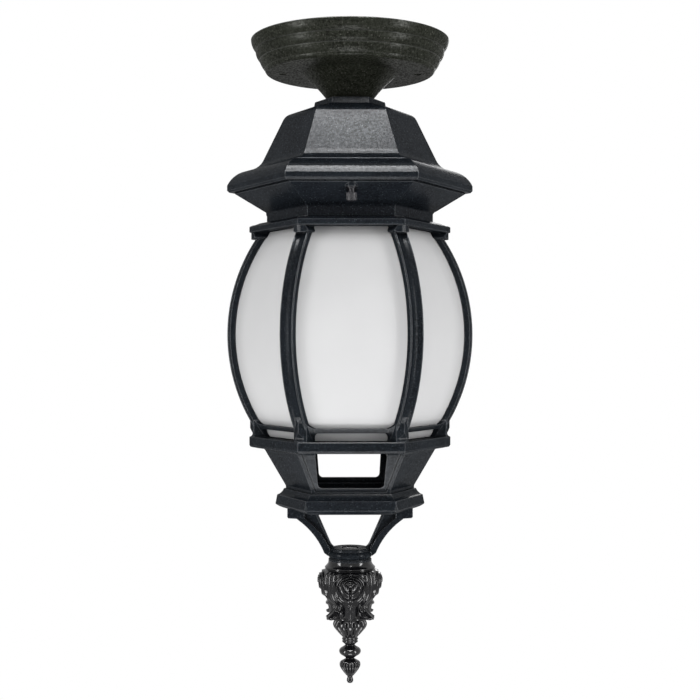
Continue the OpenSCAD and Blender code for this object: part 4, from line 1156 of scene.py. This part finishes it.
    def carve(self) -> bpy.types.Mesh:
        """Makes the carved drop's mesh, closed by a flat cap at the hub and one at the tip.

        Returns:
            The mesh.
        """
        s = self.shape
        low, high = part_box("finial")
        depths = np.linspace(0.0, s.height, s.rows)
        angles = np.linspace(0.0, 2 * math.pi, s.columns, endpoint=False)
        grid_angle, grid_depth = np.meshgrid(angles, depths)
        radius = self.relief(grid_angle, grid_depth)
        radius[0] = s.body[0][0]
        radius[-1] = s.tip_r
        x = radius * np.sin(grid_angle) * MM
        y = -radius * np.cos(grid_angle) * MM
        z = (high.z / MM - grid_depth) * MM
        points = np.stack([x, y, z], axis=-1).reshape(-1, 3)
        points[:, 2] = np.maximum(points[:, 2], low.z)
        row = np.arange(s.rows - 1)[:, None] * s.columns
        col = np.arange(s.columns)[None, :]
        right = (col + 1) % s.columns
        faces = np.stack([row + col, row + s.columns + col, row + s.columns + right, row + right],
                         axis=-1).reshape(-1, 4)
        last = len(points) - 1
        caps = [list(range(s.columns)), list(range(last, last - s.columns, -1))]
        mesh = bpy.data.meshes.new("finial_carved")
        mesh.from_pydata(points.tolist(), [], faces.tolist() + caps)
        mesh.polygons.foreach_set("use_smooth", [True] * len(faces) + [False] * len(caps))
        mesh.materials.append(self.finishes.finial)
        return mesh

    def build(self) -> list[str]:
        """Carves the finial, lets it stand for the plain one, and dresses both.

        Returns:
            The names of the pieces.
        """
        carved = bpy.data.objects.new("finial_carved", self.carve())
        bpy.context.scene.collection.objects.link(carved)
        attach(carved, Side.CAGE.value)
        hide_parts("finial")
        return super().build() + [carved.name]


# ---------------------------------------------------------------- studio


@dataclass(frozen=True)
class Lamp:
    """One soft area light that looks at the lantern, or only puts its highlights there."""

    name: str
    place: tuple[float, float, float]
    size: tuple[float, float]
    power: float
    highlight_only: bool = False

    def build(self, target: Vector) -> None:
        """Makes the light.

        Args:
            target: The point that it looks at.
        """
        data = bpy.data.lights.new(self.name, "AREA")
        data.shape = "ELLIPSE"
        data.size, data.size_y = self.size
        data.energy = self.power
        lamp = bpy.data.objects.new(self.name, data)
        lamp.location = self.place
        lamp.visible_diffuse = not self.highlight_only
        lamp.rotation_euler = (target - Vector(self.place)).to_track_quat("-Z", "Y").to_euler()
        bpy.context.scene.collection.objects.link(lamp)


@dataclass(frozen=True)
class Studio:
    """White floor, white surroundings and soft lights."""

    white: Colour = (1.0, 1.0, 1.0)
    floor_colour: Colour = (0.9, 0.9, 0.9)
    floor_z: float = -2.4
    floor_half: float = 16.0
    shadow_reach: float = 2.6
    glow_inside: float = 0.7  # share of plain white in the middle of the floor
    ambient: float = 0.65
    lamps: tuple[Lamp, ...] = (
        Lamp("top_light", (0.02, -0.78, 0.90), (0.13, 0.26), 2.5),
        Lamp("overhead_shine", (0.0, -0.52, 0.95), (1.0, 0.34), 80.0, highlight_only=True),
        Lamp("left_light", (-1.17, -0.68, -0.2), (0.32, 1.5), 13.0),
        Lamp("right_light", (1.17, -0.68, -0.2), (0.32, 1.5), 13.0),
        Lamp("left_shine", (-1.15, -0.67, -0.25), (0.32, 1.5), 12.0, highlight_only=True),
        Lamp("right_shine", (1.15, -0.67, -0.25), (0.32, 1.5), 12.0, highlight_only=True),
        Lamp("front_light", (0.1, -1.35, 0.74), (0.2, 0.2), 4.0),
        Lamp("low_light", (0.0, -0.62, -1.28), (0.6, 0.6), 12.0),
        Lamp("back_light", (0.3, 1.5, 0.3), (0.6, 0.6), 8.0),
    )

    @staticmethod
    def white_seen(graph: Graph) -> Socket:
        """A mask that is 1 for what the camera, a reflection or glass sees directly.

        Args:
            graph: The graph to add to.

        Returns:
            The mask's socket.
        """
        path = graph.add("LightPath").outputs
        seen = graph.calc("MAXIMUM", path["Is Camera Ray"], path["Is Glossy Ray"])
        return graph.calc("MAXIMUM", seen, path["Is Transmission Ray"])

    def build_world(self) -> None:
        """Makes surroundings that look white and light the lantern less than that."""
        world = bpy.data.worlds.new("studio_white")
        bpy.context.scene.world = world
        world.use_nodes = True
        graph = Graph(world.node_tree)
        strength = graph.ramp(self.white_seen(graph), 0.0, 1.0, self.ambient, 1.0)
        light = graph.add("Background", Color=shade(self.white), Strength=strength)
        graph.add("OutputWorld", Surface=light.outputs[0])

    def floor_material(self) -> bpy.types.Material:
        """Makes the floor's matt white, which turns to plain white away from the lantern.

        Returns:
            The material.
        """
        material = bpy.data.materials.new("studio_floor")
        material.use_nodes = True
        graph = Graph(material.node_tree)
        matt = graph.add("BsdfDiffuse", Color=shade(self.floor_colour))
        glow = graph.add("Emission", Color=shade(self.white), Strength=1.0)
        away = graph.add("VectorMath", operation="LENGTH")
        graph.feed(away.inputs[0], graph.add("TexCoord").outputs["Object"])
        plain = graph.ramp(away.outputs["Value"], 0.0, self.shadow_reach, self.glow_inside, 1.0)
        mix = graph.add("MixShader", Fac=graph.calc("MULTIPLY", self.white_seen(graph), plain))
        graph.feed(mix.inputs[1], matt.outputs[0])
        graph.feed(mix.inputs[2], glow.outputs[0])
        graph.add("OutputMaterial", Surface=mix.outputs[0])
        return material

    def build_floor(self) -> None:
        """Makes the floor, far below the lantern."""
        h = self.floor_half
        mesh = bpy.data.meshes.new("studio_floor")
        mesh.from_pydata([(-h, -h, 0), (h, -h, 0), (h, h, 0), (-h, h, 0)], [], [(0, 1, 2, 3)])
        mesh.materials.append(self.floor_material())
        floor = bpy.data.objects.new("studio_floor", mesh)
        floor.location.z = self.floor_z
        bpy.context.scene.collection.objects.link(floor)
        floor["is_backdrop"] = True

    def build(self, target: Vector) -> None:
        """Makes the surroundings, the floor and the lights.

        Args:
            target: The point that the lights look at.
        """
        self.build_world()
        self.build_floor()
        for lamp in self.lamps:
            lamp.build(target)


@dataclass(frozen=True)
class PhotoCamera:
    """The camera of the photograph: level, a metre away and a touch to the left of square."""

    distance: float = 1.040
    height: float = -0.247
    turn_deg: float = 0.9
    lens: float = 66.86
    sensor_width: float = 36.0
    clip_start: float = 0.05

    def build(self) -> None:
        """Makes the camera and makes it the scene's own."""
        data = bpy.data.cameras.new("photo_camera")
        data.lens = self.lens
        data.sensor_width = self.sensor_width
        data.clip_start = self.clip_start
        camera = bpy.data.objects.new("photo_camera", data)
        a = math.radians(self.turn_deg)
        camera.location = (-self.distance * math.sin(a), -self.distance * math.cos(a), self.height)
        camera.rotation_euler = (math.pi / 2, 0.0, -a)
        bpy.context.scene.collection.objects.link(camera)
        bpy.context.scene.camera = camera


# ---------------------------------------------------------------- main


def main() -> None:
    """Loads the frame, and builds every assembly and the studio."""
    logging.basicConfig(level=logging.INFO, format="%(name)s: %(message)s")
    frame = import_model()
    cad_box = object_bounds()
    finishes = Finishes()
    for kind in (CeilingCanopy, RoofAndHolder, Cage, Base, Finial):
        for name in kind(frame, finishes).build():
            LOG.info("%s, %s: %s", kind.side.value, kind.__name__, name)
    PhotoCamera().build()
    middle = (cad_box[0] + cad_box[1]) / 2
    Studio().build(middle)
    bpy.context.scene.view_settings.view_transform = "Standard"


if __name__ == "__main__":
    main()
